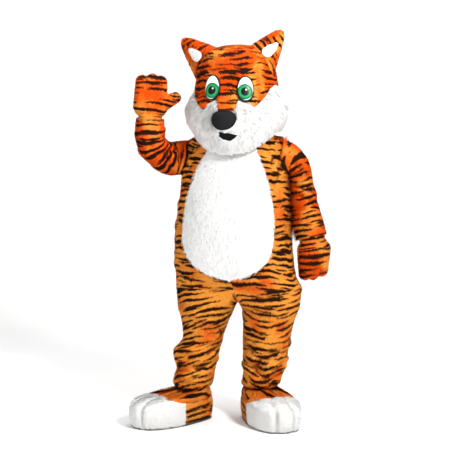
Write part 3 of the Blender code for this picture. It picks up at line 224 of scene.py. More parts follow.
SLEEVE_LEFT_FOLDS = table(
    FOLD,
    (60, 0.075, 0.1, 0.016, 0.008, -40), (100, 0.15, 0.11, 0.016, 0.008, -28),
    (90, 0.188, 0.11, 0.015, -0.009, -22), (100, 0.225, 0.12, 0.016, 0.009, -34),
    (60, 0.262, 0.1, 0.016, -0.008, 14), (-90, 0.185, 0.12, 0.017, 0.009, 18),
    (-90, 0.232, 0.12, 0.017, -0.009, -12), (0, 0.215, 0.11, 0.018, 0.007, 8),
    (80, 0.325, 0.11, 0.018, 0.007, 12),
)
SLEEVE_LEFT_CREASES = table(
    FOLD,
    (80, 0.18, 0.115, 0.016, -0.0156, -20), (120, 0.215, 0.103, 0.016, -0.0143, -24),
    (100, 0.198, 0.092, 0.016, 0.0104, -20), (70, 0.31, 0.103, 0.016, -0.0104, 10),
    (180, 0.15, 0.14, 0.032, 0.0042, 90), (178, 0.32, 0.13, 0.036, 0.0072, 90),
    (179, 0.23, 0.08, 0.034, 0.0058, 90), (110, 0.04, 0.081, 0.0145, -0.0131, -60),
    (60, 0.11, 0.092, 0.0145, -0.0113, -46), (120, 0.205, 0.081, 0.0145, -0.0113, -26),
    (70, 0.245, 0.081, 0.0145, -0.0113, -30), (110, 0.29, 0.07, 0.0117, 0.0072, 16),
    (230, 0.21, 0.092, 0.0145, -0.0113, 12), (300, 0.29, 0.08, 0.013, -0.0058, 4),
    (90, 0.37, 0.06, 0.0117, -0.0058, -8),
)

# Heights on the head are from its centre; drop is how far the ring's front hangs below its sides
HEAD = table(
    "height drop half_width front back",
    (-0.1315, 0.112, 0.209, 0.186, 0.186), (-0.1, 0.095, 0.224, 0.208, 0.198),
    (-0.06, 0.08, 0.24, 0.22, 0.208), (-0.01, 0.05, 0.244, 0.218, 0.215),
    (0.03, 0.028, 0.222, 0.212, 0.216), (0.06, 0.018, 0.204, 0.207, 0.213),
    (0.1, 0.01, 0.194, 0.202, 0.208), (0.15, 0, 0.186, 0.192, 0.199),
    (0.195, 0, 0.171, 0.173, 0.18), (0.235, 0, 0.143, 0.143, 0.148), (0.262, 0, 0.102, 0.1, 0.104),
    (0.275, 0, 0.054, 0.052, 0.056), (0.279, 0, 0.016, 0.016, 0.016),
)
HEAD_FORMS = table(
    FOLD,
    (0, -0.038, 0.1, 0.055, 0.052, 0), (0, -0.088, 0.06, 0.03, 0.014, 0),
    (72, -0.03, 0.11, 0.05, 0.01, 0), (-72, -0.03, 0.11, 0.05, 0.001, 0),
)
# Where the white of the face ends, from its middle to the sides
FACE_EDGE = table(
    "angle height",
    (0, -0.012), (6.5, -0.01), (9.5, 0.026), (14, 0.032), (20, 0.018), (28, 0), (38, 0.014),
    (50, 0.036), (64, 0.062), (80, 0.08), (180, 0.08),
)
# Pads that lie on the head: a middle, half sizes, how far they stand out, and the outline's
# exponent. The last is the white on an ear's front.
EYE_RIGHT, EYE_LEFT, NOSE, MOUTH, LINING = table(
    "angle height half_width half_height rise squareness top_width",
    (-17.7, 0.074, 0.0425, 0.0595, 0.011, 2.2, 0.86), (21.3, 0.062, 0.043, 0.061, 0.011, 2.2, 0.86),
    (-1.5, -0.031, 0.05, 0.046, 0.026, 2.25, 1.35), (1, -0.076, 0.044, 0.018, 0.003, 2, 1),
    (0, 0, 0.026 * 1.22, 0.034 * 1.18, 0.001, 2.3, 0.35),
)
LINING_SHARE = 0.27  # how far towards the ear's tip
# Each ear: middle of its base on the head, the base's half sizes, the tip and how far it narrows
EAR_RIGHT, EAR_LEFT = table(
    "angle height half_length half_depth lean tip tip_share",
    (-71, 0.207, 0.092, 0.036, 0.9, Vector((-0.260, -0.020, 0.315)), 0.24),
    (74, 0.207, 0.092, 0.036, 0.9, Vector((0.232, -0.020, 0.323)), 0.24),
)

# A boot's own frame: its toes point along -Y and its ankle is over the origin
BOOT = table(
    "height centre_y half_width front back squareness",
    (0.0083, -0.05, 0.116, 0.29, 0.134, 2.9), (0.04, -0.05, 0.123, 0.3, 0.138, 2.9),
    (0.08, -0.05, 0.125, 0.302, 0.138, 2.9), (0.112, -0.048, 0.122, 0.292, 0.134, 2.8),
    (0.132, -0.042, 0.112, 0.256, 0.122, 2.6), (0.143, -0.028, 0.098, 0.19, 0.106, 2.4),
    (0.15, -0.006, 0.086, 0.103, 0.088, 2.1), (0.156, 0, 0.0795, 0.08, 0.0795, 2),
    (0.185, 0, 0.078, 0.078, 0.078, 2),
)
TOE_CREASES = table(
    FOLD,
    (13, 0.07, 0.1, 0.016, -0.023, 90), (-13, 0.07, 0.1, 0.016, -0.023, 90),
    (0, 0.07, 0.09, 0.03, 0.007, 90),
)
TOE_EDGE = table(
    "angle height",
    (0, 0.143), (30, 0.1415), (60, 0.13), (80, 0.108), (180, 0.108),
)
HEEL_TAPER = 0.20
# The sole's sections: height, and how far inside the boot's lowest ring
SOLE = ((0, 0.0028), (0.0016, 0.001), (0.0034, 0.001), (0.0042, 0.002), (0.005, 0.001),
        (0.0064, 0.001), (0.0076, 0.0026))
BOOT_RIGHT, BOOT_LEFT = table(
    "place yaw", (Vector((-0.209, 0.018, 0.0)), -48.0), (Vector((0.118, 0.024, 0.0)), 18.0))

# A paw's own frame: its wrist is the origin, its fingers point up and its palm looks along -Y
Lobe = namedtuple("Lobe", "low high low_radius high_radius")
PAW_LOBES = (
    Lobe(Vector((-0.026, 0.000, 0.050)), Vector((-0.045, -0.002, 0.159)), 0.060, 0.034),
    Lobe(Vector((0.000, 0.000, 0.050)), Vector((0.003, -0.002, 0.165)), 0.060, 0.036),
    Lobe(Vector((0.024, 0.000, 0.050)), Vector((0.043, -0.002, 0.160)), 0.060, 0.034),
)
THUMB_ROOT = Vector((0.030, -0.006, 0.050))
THUMB_RADII = (0.047, 0.029)
CUFF_LOW, CUFF_HIGH = -0.026, 0.050
PAW_RIGHT, PAW_LEFT = table(
    "place turn mirror curl cuff_radius thumb_tip",
    (Vector((-0.402, -0.098, 1.446)), (7.0, 3.5, 0.0), 1.0, 0.0, 0.0572,
     Vector((0.116, -0.014, 0.094))),
    (Vector((0.361, -0.067, 0.868)), (180.0, -8.0, 26.0), -1.05, 14.0, 0.0612,
     Vector((0.018, -0.050, 0.108))),
)

# Cloth: how far the backing lies under the pile's face, and the shells' own thickness
PLUSH_SINK = 0.0042
PLUSH_THICK = 0.0030
WHITE_SINK = 0.0085
TOE_SINK = 0.0045
FOAM_THICK = 0.0090
BOOT_THICK = 0.0055
SEAM_DIP = 0.0022
SEAM_WIDTH = 0.006

# Metres for each radian round a piece: on its cut, and for its folds, waves and seams
TORSO_CUT, TORSO_ROUND = 0.26, 0.25
LEG_CUT, LEG_ROUND, LEG_WAVES = 0.125, 0.115, 0.12
SLEEVE_CUT = 0.075
HEAD_CUT, HEAD_ROUND, BOOT_CUT = 0.22, 0.21, 0.20

# Painted shade in the folds' troughs on the pile's colour: rounds of smoothing, and the depths where
# the painted shade starts and is full
DIP_STEPS = 18
DIP_START = 0.0006
DIP_FULL = 0.0034

# Pile: strands a square metre, length, lean from the normal, width at the root, how far clumps
# draw the tips together, roots in a clump, and the pieces of a strand
PLUSH_PILE, BELLY_PILE, FACE_PILE, TOE_PILE, LINING_PILE = table(
    "density length lean width clump clump_size segments",
    (88000, 0.0088, 52.0, 0.0025, 0.25, 14, 1), (105000, 0.0240, 62.0, 0.0023, 0.35, 16, 2),
    (115000, 0.0300, 58.0, 0.0023, 0.60, 20, 2), (110000, 0.0150, 56.0, 0.0022, 0.35, 14, 2),
    (110000, 0.0120, 56.0, 0.0022, 0.30, 12, 1),
)


# --- arrays ------------------------------------------------------------------


def lowered(points):
    return np.asarray(points) - np.array((0.0, 0.0, SHOULDER_HEIGHT))


def smooth_step(share):
    share = np.clip(share, 0.0, 1.0)
    return share * share * (3 - 2 * share)


def read(rows, column, at):
    """The column's values at these stations, on a smooth curve. Column 0 holds the stations."""
    stations = np.array([row[0] for row in rows])
    values = np.array([getattr(row, column) for row in rows])
    index = np.arange(len(rows))
    low, high = np.maximum(index - 1, 0), np.minimum(index + 1, len(rows) - 1)
    slopes = (values[high] - values[low]) / (stations[high] - stations[low])
    at = np.clip(at, stations[0], stations[-1])
    k = np.clip(np.searchsorted(stations, at, side="right") - 1, 0, len(rows) - 2)
    step = stations[k + 1] - stations[k]
    t = (at - stations[k]) / step
    return (
        (2 * t**3 - 3 * t**2 + 1) * values[k]
        + (t**3 - 2 * t**2 + t) * step * slopes[k]
        + (3 * t**2 - 2 * t**3) * values[k + 1]
        + (t**3 - t**2) * step * slopes[k + 1]
    )


def edge_of(rows, shift):
    """A piece's end as a function of the angle, moved up by shift."""
    angles, heights = zip(*rows)
    return lambda a: np.interp(np.abs((a + 180.0) % 360.0 - 180.0), angles, heights) + shift


def ring_point(angle, half_width, front, back, squareness):
    """Points of a superellipse: angle 0 is the front, 90 the wearer's left."""
    s, c = np.sin(np.radians(angle)), np.cos(np.radians(angle))
    x = np.sign(s) * np.abs(s) ** (2 / squareness) * half_width
    y = -np.sign(c) * np.abs(c) ** (2 / squareness) * np.where(c > 0, front, back)
    return np.stack([x, y, np.zeros_like(x)], axis=-1)


def ripple(x, y, size, seed):
    """Smooth noise from -1 to 1 on a lattice of this size."""
    x, y = x / size, y / size
    i, j = np.floor(x), np.floor(y)
    sx, sy = smooth_step(x - i), smooth_step(y - j)

    def corner(a, b):
        h = np.sin(a * 127.1 + b * 311.7 + seed * 74.7) * 43758.5453
        return (h - np.floor(h)) * 2 - 1

    low = corner(i, j) * (1 - sx) + corner(i + 1, j) * sx
    high = corner(i, j + 1) * (1 - sx) + corner(i + 1, j + 1) * sx
    return low * (1 - sy) + high * sy


def fold_height(folds, angle, height, radius, uneven=1.0):
    """How far the folds lift the cloth: soft ridges and troughs that wander and taper."""
    total = np.zeros(np.broadcast(angle, height).shape)
    for n, fold in enumerate(folds):
        turn = (angle - fold.angle + 180.0) % 360.0 - 180.0
        across, up = np.radians(turn) * radius, height - fold.height
        c, s = math.cos(math.radians(fold.slope)), math.sin(math.radians(fold.slope))
        along = (across * c + up * s) / fold.length
        away = -across * s + up * c
        away = away + uneven * 0.5 * fold.width * ripple(along * fold.length, 0 * along, 0.045, n)
        side = np.where(away > 0, 1.15, 0.85) if fold.out < 0 else np.where(away > 0, 0.8, 1.2)
        away = away / (fold.width * side)
        ends = np.clip(1 - along * along, 0, 1) ** 2
        total += fold.out * ends * np.exp(-away * away)
    return total


def turned(points, degrees):
    return points @ np.array(Matrix.Rotation(math.radians(degrees), 3, "Z")).T


def length_of(vectors):
    return np.linalg.norm(vectors, axis=-1, keepdims=True)


def unit(vectors):
    return vectors / np.maximum(length_of(vectors), 1e-12)


def normal_of(surface, angle, height, low, high):
    along = surface(angle + 0.5, height) - surface(angle - 0.5, height)
    above = surface(angle, np.minimum(high, height + 0.002))
    below = surface(angle, np.maximum(low, height - 0.002))
    return unit(np.cross(along, above - below))


def levelled(normal, share):
    """The normal, level where the share is 0."""
    level = unit(normal * np.array((1.0, 1.0, 0.0)))
    return unit(level * (1 - share[..., None]) + normal * share[..., None])


def spaced(count, edge=0.0):
    """Shares from 0 to 1, closer together at both ends as edge goes to 1."""
    s = np.linspace(0, 1, count)
    return s - edge * np.sin(2 * np.pi * s) / (2 * np.pi)


def arc(first, last, gap, count, edge):
    """Angles from first to last, less the seam's gap at both ends."""
    return first + gap + (last - first - 2 * gap) * spaced(count, edge)


# --- the part's surfaces -----------------------------------------------------


def torso_base(angle, height):
    sizes = [read(TORSO, c, height) for c in ("half_width", "front", "back")]
    flat = turned(ring_point(angle, *sizes, TORSO_SQUARENESS), TORSO_YAW)
    return flat + np.stack([read(TORSO, "centre_x", height), 0 * height, height], axis=-1)


def torso_normal(angle, height):
    normal = normal_of(torso_base, angle, height, HIP, NECKLINE)
    return levelled(normal, smooth_step((height - HIP) / 0.03))


def torso_point(angle, height, lift=0.0, creases=True):
    fade = smooth_step((height - HIP) / 0.05) * smooth_step((NECKLINE - height) / 0.04)
    out = fold_height(TORSO_FOLDS, angle, height, TORSO_ROUND)
    if creases:
        out = out + fold_height(TORSO_CREASES, angle, height, TORSO_ROUND)
        across = np.radians(angle) * TORSO_CUT
        out = out + 0.0016 * ripple(across, height * 1.6, 0.085, 3)
        out = out + 0.0007 * ripple(across, height * 2.0, 0.030, 4)
    lift = (lift + out * fade)[..., None]
    return torso_base(angle, height) + torso_normal(angle, height) * lift


def arc_degrees(distance, angle, height):
    gap = length_of(torso_base(angle + 1, height) - torso_base(angle - 1, height))[..., 0] / 2
    return distance / gap


def armhole_reach(height):
    up = (height - ARMHOLE_CENTRE) / ARMHOLE_HALF_HEIGHT
    return ARMHOLE_HALF_ANGLE * np.sqrt(np.maximum(0.0, 1 - up * up))


def belly_angle(height):
    share = read(BELLY, "half_width", height) / read(TORSO, "half_width", height)
    angle = np.degrees(np.arcsin(np.minimum(1.0, share ** (TORSO_SQUARENESS / 2))))
    return np.where(height < BELLY_LOW, 0.0, angle)


def side_edge(height):
    return np.maximum(armhole_reach(height), arc_degrees(SEAM / 2, 90 + 0 * height, height))


def belly_edge(height):
    gap = np.where(height >= BELLY_LOW, BELLY_SEAM / 2, SEAM / 2)
    return belly_angle(height) + arc_degrees(gap, belly_angle(height), height)


def belly_rim(height):
    angle = belly_angle(height)
    return angle - arc_degrees(BELLY_SEAM / 2, angle, height)


def back_edge(height):
    half = np.where(height >= ZIP_LOW, ZIP_HALF_WIDTH, SEAM / 2)
    return 180 - arc_degrees(half, 180 + 0 * height, height)


def leg_ring(rows, folds, sign, turn, height, grow):
    half_width, half_depth = read(rows, "half_width", height), read(rows, "half_depth", height)
    out = grow + fold_height(folds, turn, height, half_width)
    flat = ring_point(turn, half_width + out, half_depth + out, half_depth + out, 2.0)
    middle = [read(rows, "centre_x", height), read(rows, "centre_y", height), height]
    return flat * np.array((sign, 1.0, 1.0)) + np.stack(middle, axis=-1)


def hip_ring(sign, outside, inside, depth):
    """A leg's top edge: half of the torso's hem by shares of it, then the crotch seam."""
    middle = np.array((read(TORSO, "centre_x", HIP), 0.0, HIP - SEAM))
    turns, level = sign * 180.0 * outside, HIP + 0 * outside
    hem = torso_base(turns, level) - torso_normal(turns, level) * depth
    hem = turned(hem - np.array((middle[0], middle[1], HIP)), -TORSO_YAW)
    front, back = hem[0, 1], hem[-1, 1]
    c, s = np.cos(np.pi * inside), np.sin(np.pi * inside)
    y = (front + back) / 2 + (back - front) / 2 * -c
    seam = np.stack([0 * y, front + back - y, (CROTCH - HIP + depth) * s], axis=-1)
    ring = np.concatenate([hem, seam])
    ring[:, 0] = sign * np.maximum(SEAM / 2, sign * ring[:, 0])
    return middle + turned(ring, TORSO_YAW)


HEAD_MATRIX = (Matrix.Translation(HEAD_PLACE) @ Matrix.Rotation(math.radians(HEAD_YAW), 4, "Z")
               @ Matrix.Rotation(math.radians(HEAD_ROLL), 4, "Y"))
HEAD_TURN = HEAD_MATRIX.to_3x3()
DOWN = Vector((0.0, 0.0, -SHOULDER_HEIGHT))


def moved(points, matrix):
    m = np.array(matrix)
    return points @ m[:3, :3].T + m[:3, 3]


def head_base(angle, height):
    sizes = [read(HEAD, c, height) for c in ("half_width", "front", "back")]
    flat = ring_point(angle, *sizes, HEAD_SQUARENESS)
    hang = read(HEAD, "drop", height) * np.maximum(0.0, np.cos(np.radians(angle))) ** 1.5
    return flat + np.stack([0 * hang, 0 * hang, height - hang], axis=-1)


def head_point(angle, height, lift=0.0):
    normal = normal_of(head_base, angle, height, HEAD[0].height, HEAD[-1].height)
    lift = (lift + fold_height(HEAD_FORMS, angle, height, 0.22, 0.0))[..., None]
    return moved(head_base(angle, height) + normal * lift, HEAD_MATRIX)


def spot_on_head(angle, height):
    """A place on the head in the frame, and the normal there."""
    a, h = np.array(float(angle)), np.array(float(height))
    normal = normal_of(head_point, a, h, -1.0, 1.0)
    return Vector(head_point(a, h)) + DOWN, Vector(normal)


def boot_base(angle, height):
    sizes = [read(BOOT, c, height) for c in ("half_width", "front", "back", "squareness")]
    flat = ring_point(angle, *sizes)
    share = smooth_step((flat[..., 1] + 0.12) / 0.22) * smooth_step((0.155 - height) / 0.04)
    flat[..., 0] = flat[..., 0] * (1 - HEEL_TAPER * share)
    middle = read(BOOT, "centre_y", height)
    return flat + np.stack([0 * middle, middle, height], axis=-1)


def boot_surface(placed):
    matrix = Matrix.Translation(placed.place) @ Matrix.Rotation(math.radians(placed.yaw), 4, "Z")

    def point(angle, height, lift=0.0):
        normal = normal_of(boot_base, angle, height, BOOT[0].height, BOOT[-1].height)
        normal = levelled(normal, smooth_step((height - BOOT[0].height) / 0.02))
        lift = (lift + fold_height(TOE_CREASES, angle, height, 0.2, 0.0))[..., None]
        return moved(boot_base(angle, height) + normal * lift, matrix)

    return point


# --- meshes ------------------------------------------------------------------

pieces = {}
naps = {}
outer_faces = {}
patches = iter(range(1, 100))


def next_patch():
    """Where a piece's cut lies on the printed fur, so that stripes break at the seams."""
    k = next(patches)
    return np.array((k * 3.17, k * 1.931))


def linked(name, data):
    item = bpy.data.objects.new(name, data)
    bpy.context.scene.collection.objects.link(item)
    return item


def mesh_of(maker, name):
    mesh = bpy.data.meshes.new(name)
    maker.to_mesh(mesh)
    maker.free()
    return mesh


def add_piece(name, mesh, materials, sharp):
    """The mesh as a piece of the costume, smooth but for edges over this angle."""
    for material in materials:
        mesh.materials.append(material)
    mesh.shade_smooth()
    mesh.set_sharp_from_angle(angle=math.radians(sharp))
    pieces[name] = linked(name, mesh)


def add_made(name, maker, material, sharp=40):
    bmesh.ops.recalc_face_normals(maker, faces=maker.faces)
    add_piece(name, mesh_of(maker, name), [material], sharp)


def fetched(source, key, width, kind=np.float32):
    values = np.empty(len(source) * width, dtype=kind)
    source.foreach_get(key, values)
    return values.reshape(-1, width) if width > 1 else values


def add_uv(mesh, name, values):
    layer = mesh.uv_layers.new(name=name)
    layer.uv.foreach_set("vector", np.asarray(values).astype(np.float32).ravel())


def same_nap(name, way):
    """The pile of this piece all leans one way."""
    naps[name] = np.repeat(np.array(way)[None, :], len(pieces[name].data.vertices), axis=0)


def tree_of(*meshes):
    points, faces = [], []
    for mesh in meshes:
        first = len(points)
        points += [v.co.copy() for v in mesh.vertices]
        faces += [[first + v for v in p.vertices] for p in mesh.polygons]
    return BVHTree.FromPolygons(points, faces)


def piece_tree(*names):
    return tree_of(*(pieces[name].data for name in names))


def shell(name, outer, inner, uv, materials, closed=False, capped=False, nap=None):
    """A thin wall between two grids of points. uv is in metres, a column more than the points of a
    closed ring. The first material is the face's, the second the back's."""
    rows, columns = outer.shape[:2]
    spans = columns if closed else columns - 1
    i, j = (g.ravel() for g in np.meshgrid(np.arange(rows - 1), np.arange(spans), indexing="ij"))
    k = (j + 1) % columns
    count, top = rows * columns, (rows - 1) * columns
    face = np.stack([i * columns + j, i * columns + k, (i + 1) * columns + k,
                     (i + 1) * columns + j]).T
    corner = np.stack([uv[i, j], uv[i, j + 1], uv[i + 1, j + 1], uv[i + 1, j]], axis=1)
    faces, corners = [face, face[:, ::-1] + count], [corner, corner[:, ::-1]]

    def rim(a, b, at):
        faces.append(np.stack([a, b, b + count, a + count]).T)
        corners.append(np.repeat(at[:, None, :], 4, axis=1))

    ring = np.arange(spans)
    after = (ring + 1) % columns
    rim(after, ring, uv[0, :spans])
    if not capped:
        rim(top + ring, top + after, uv[-1, :spans])
    if not closed:
        side = np.arange(rows - 1) * columns
        rim(side, side + columns, uv[:-1, 0])
        last = side + columns - 1
        rim(last + columns, last, uv[:-1, -1])
    faces = [tuple(f) for f in np.concatenate(faces)]
    corners = np.concatenate([c.reshape(-1, 2) for c in corners])
    points = np.concatenate([outer.reshape(-1, 3), inner.reshape(-1, 3)])
    if capped:
        points = np.concatenate([points, [outer[-1].mean(axis=0), inner[-1].mean(axis=0)]])
        cap_uv = []
        for n in range(spans):
            a, b = top + n, top + (n + 1) % columns
            faces += [(a, b, 2 * count), (b + count, a + count, 2 * count + 1)]
            cap_uv += [uv[-1, n], uv[-1, n + 1], uv[-1, n]] * 2
        corners = np.concatenate([corners, np.array(cap_uv)])
    mesh = bpy.data.meshes.new(name)
    mesh.from_pydata(lowered(points).tolist(), [], faces)
    add_uv(mesh, "cut", corners + next_patch())
    add_piece(name, mesh, materials, 60)
    indices = np.zeros(len(mesh.polygons), dtype=np.int32)
    if len(materials) > 1:
        indices[len(face):] = 1
    if capped:
        indices[-2 * spans::2] = 0
    mesh.polygons.foreach_set("material_index", indices)
    mesh.update()
    check = mesh.polygons[len(face) // 2]
    out = (outer - inner).reshape(-1, 3)[check.vertices[0]]
    if np.dot(np.array(check.normal), out) < 0:
        mesh.flip_normals()
    outer_faces[name] = len(face)
    if nap is None:
        nap = np.zeros_like(outer)
        nap[1:] = outer[:-1] - outer[1:]
        nap[0] = nap[1]
    nap = unit(nap.reshape(-1, 3))
    naps[name] = np.concatenate([nap, nap, np.zeros((2, 3)) + nap[-1]])[: len(points)]


def dip(distance):
    return -SEAM_DIP * np.exp(-((distance / SEAM_WIDTH) ** 2))


def panel(name, point, start, end, low, rows, columns, sink, material):
    """A piece of the torso between two edges in angle, each a function of the height."""
    heights = low + (NECKLINE - low) * spaced(rows, 0.6)
    share = spaced(columns, 0.6)[None, :]
    first, last = start(heights)[:, None], end(heights)[:, None]
    angle = first + (last - first) * share
    height = np.repeat(heights[:, None], columns, axis=1)
    width = np.radians(np.abs(last - first)) * TORSO_CUT
    near = np.minimum(np.minimum(share, 1 - share) * width,
                      np.minimum(height - low, NECKLINE - height + 0.03))
    lift = -sink + dip(near)
    uv = np.stack([np.radians(angle) * TORSO_CUT, height], axis=-1)
    shell(name, point(angle, height, lift), point(angle, height, lift - PLUSH_THICK), uv,
          [material, BACKING])


def window(name, point, angles, low, high, rows, radius, materials, sink, thick, closed=False,
           capped=False, nap=None, wander=0.0, row_edge=0.4):
    """A piece between two edges in height, each a number or a function of the angle."""
    share = spaced(rows, row_edge)[:, None]
    bottom, top = ((edge(angles) if callable(edge) else 0 * angles + edge)[None, :]
                   for edge in (low, high))
    height = bottom + (top - bottom) * share
    angle = np.repeat(angles[None, :], rows, axis=0)
    across = np.radians(angle) * radius
    near = np.minimum(height - bottom, top - height)
    if not closed:
        near = np.minimum(near, np.minimum(across - across[:, :1], across[:, -1:] - across))
    lift = -sink + dip(near) + wander * ripple(across, height, 0.035, 11)
    outer, inner = point(angle, height, lift), point(angle, height, lift - thick)
    if closed:
        across = np.concatenate([across, across[:, :1] + 2 * np.pi * radius], axis=1)
        height = np.concatenate([height, height[:, :1]], axis=1)
    shell(name, outer, inner, np.stack([across, height], axis=-1), materials, closed, capped,
          nap(outer) if nap else None)


# --- materials ---------------------------------------------------------------


def grey(value):
    return (value,) * 3


def shaded(colour, share):
    return tuple(c * share for c in colour)


class Net:
    """A material's nodes, made by calls."""

    def __init__(self, name):
        self.material = bpy.data.materials.new(name)
        self.material.use_nodes = True
        self.nodes = self.material.node_tree.nodes

    def put(self, socket, value):
        if isinstance(value, bpy.types.NodeSocket):
            self.material.node_tree.links.new(value, socket)
        else:
            socket.default_value = (*value, 1) if socket.type == "RGBA" else value

    def node(self, kind, inputs, **settings):
        node = self.nodes.new("ShaderNode" + kind)
        for key, value in settings.items():
            setattr(node, key, value)
        for key, value in inputs.items() if isinstance(inputs, dict) else enumerate(inputs):
            self.put(node.inputs[key], value)
        return node.outputs

    def math(self, operation, *values, clamp=False):
        return self.node("Math", values, operation=operation, use_clamp=clamp)[0]

    def add(self, a, b):
        return self.math("ADD", a, b)

    def less(self, a, b):
        return self.math("SUBTRACT", a, b)

    def times(self, a, b):
        return self.math("MULTIPLY", a, b)

    def over(self, a, b):
        return self.math("DIVIDE", a, b)

    def plus(self, a, share, base):
        """The base and a share of a."""
        return self.math("MULTIPLY_ADD", a, share, base)

    def sway(self, chance, share, base):
        """The same with a chance between 0 and 1, which draws to either side."""
        return self.plus(self.less(chance, 0.5), share, base)

    def squares(self, a, b):
        return self.plus(a, a, self.times(b, b))

    def mix(self, share, a, b):
        return self.node("Mix", {0: share, 6: a, 7: b}, data_type="RGBA")[2]

    def scaled(self, vector, share):
        return self.node("VectorMath", {0: vector, "Scale": share}, operation="SCALE")[0]

    def uv(self, name):
        return self.node("UVMap", (), uv_map=name)[0]

    def place(self):
        return self.node("TexCoord", ())["Object"]

    def split(self, vector):
        return self.node("SeparateXYZ", (vector,))

    def join(self, x, y, z=0.0):
        return self.node("CombineXYZ", (x, y, z))[0]

    def noise(self, vector, scale, detail=2.0, rough=0.5, out="Fac"):
        return self.node("TexNoise", {"Vector": vector, "Scale": scale, "Detail": detail,
                                      "Roughness": rough})[out]

    def white(self, vector, out):
        return self.node("TexWhiteNoise", {"Vector": vector}, noise_dimensions="3D")[out]

    def ramp(self, value, low, high, start=0.0, end=1.0):
        return self.node("MapRange", (value, low, high, start, end),
                         interpolation_type="SMOOTHSTEP")[0]

    def bump(self, height, distance, strength):
        made = self.node("Bump", {"Height": height, "Distance": distance, "Strength": strength})
        self.put(self.nodes["Principled BSDF"].inputs["Normal"], made[0])

    def finish(self, colour, roughness, specular, sheen=0.0, coat=0.0, metal=0.0):
        for key, value in (
            ("Base Color", colour), ("Roughness", roughness), ("Specular IOR Level", specular),
            ("Sheen Weight", sheen), ("Sheen Roughness", 0.6), ("Coat Weight", coat),
            ("Coat Roughness", 0.04), ("Metallic", metal),
        ):
            self.put(self.nodes["Principled BSDF"].inputs[key], value)
        return self.material


# Rows of strokes across the cloth: how far apart, how long, how far the cloth's print wavers, each
# stroke's half thickness (least, spread) as a share of the pitch, and how many cells stay bare
MAIN_STROKES, SIDE_STROKES = table(
    "pitch length broad fine thin spread bare seed",
    (0.0300, 0.235, 0.046, 0.0080, 0.185, 0.14, 0.02, 3.0),
    (0.0225, 0.115, 0.030, 0.0070, 0.135, 0.13, 0.42, 11.0),
)


def stroke_depth(net, cut, spec, broad, fine, bold):
    """How far inside a tapered, wavering stroke a place is, as a share of the pitch."""
    u, v, _ = net.split(cut)
    wave = net.sway(fine[0], spec.fine, net.sway(broad[0], spec.broad, v))
    row_at = net.over(wave, spec.pitch)
    row = net.math("FLOOR", row_at)
    away = net.less(net.math("FRACT", row_at), 0.5)
    shift = net.white(net.join(row, 0.0, spec.seed), "Value")
    along = net.plus(broad[1], 0.7, net.plus(shift, 7.3, net.over(u, spec.length)))
    cell = net.math("FLOOR", along)
    t = net.less(net.math("FRACT", along), 0.5)
    chance = net.split(net.white(net.join(row, cell, spec.seed + 4.0), "Color"))
    half_length = net.plus(chance[0], 0.15, 0.35)
    thick = net.plus(chance[1], spec.spread * bold, spec.thin * bold)
    thick = net.times(thick, net.math("GREATER_THAN", chance[2], spec.bare))
    slope = net.times(net.less(chance[2], 0.5), 1.1)
    away = net.add(away, net.times(t, slope))
    taper = net.over(t, half_length)
    taper = net.math("SUBTRACT", 1.0, net.times(taper, taper), clamp=True)
    reach = net.times(net.sway(fine[1], 0.20, thick), net.math("POWER", taper, 0.7))
    return net.less(reach, net.math("ABSOLUTE", away))


def stripe_share(net, cut, bold):
    """1 inside a stripe: long strokes, and short ones between that fork off them."""
    broad = net.split(net.noise(cut, 7.0, 1.0, out="Color"))
    fine = net.split(net.noise(cut, 44.0, 2.0, out="Color"))
    depth = net.math("MAXIMUM", *(stroke_depth(net, cut, spec, broad, fine, bold)
                                  for spec in (MAIN_STROKES, SIDE_STROKES)))
    return net.ramp(net.sway(net.noise(cut, 480.0, 1.0), 0.08, depth), -0.02, 0.02)


RED_ORANGE = (0.75, 0.080, 0.003)
LIGHT_ORANGE = (0.90, 0.330, 0.046)
# Painted shade: the colours the pile darkens towards in the folds' troughs
FOLD_SHADE_ORANGE = (0.22, 0.035, 0.006)
FOLD_SHADE_WHITE = (0.52, 0.54, 0.52)
STRIPE_DARK, STRIPE_LIGHT = (0.016, 0.005, 0.002), (0.034, 0.011, 0.004)


def tiger_fur(name, low=0.27, high=0.56, scale=1.0, bold=1.0):
    """Orange plush with black stripes and painted shade, darker at the strands' roots and in the
    folds' troughs; more of it is red as low and high rise.
    """
    net = Net(name)
    cut, strand = net.uv("cut"), net.split(net.uv("strand"))
    stripe = stripe_share(net, net.scaled(cut, scale), bold)
    patch = net.ramp(net.noise(cut, 6.0, 3.0, 0.55), low, high)
    orange = net.mix(patch, RED_ORANGE, LIGHT_ORANGE)
    # Painted shade: strands darker towards their roots and lighter at their tips, times a random
    # tone for each strand
    light = net.times(net.plus(strand[1], 0.30, 0.86), net.plus(strand[0], 0.34, 0.80))
    # Painted shade in the folds' troughs, mixed towards a dark orange
    deep = net.times(net.split(net.uv("dip"))[0], 0.90)
    shade = net.scaled(net.mix(deep, orange, FOLD_SHADE_ORANGE), light)
    black = net.mix(strand[1], STRIPE_DARK, STRIPE_LIGHT)
    net.bump(net.noise(cut, 520.0, 2.0), 0.0012, 0.5)
    return net.finish(net.mix(stripe, shade, black), 0.75, 0.03)


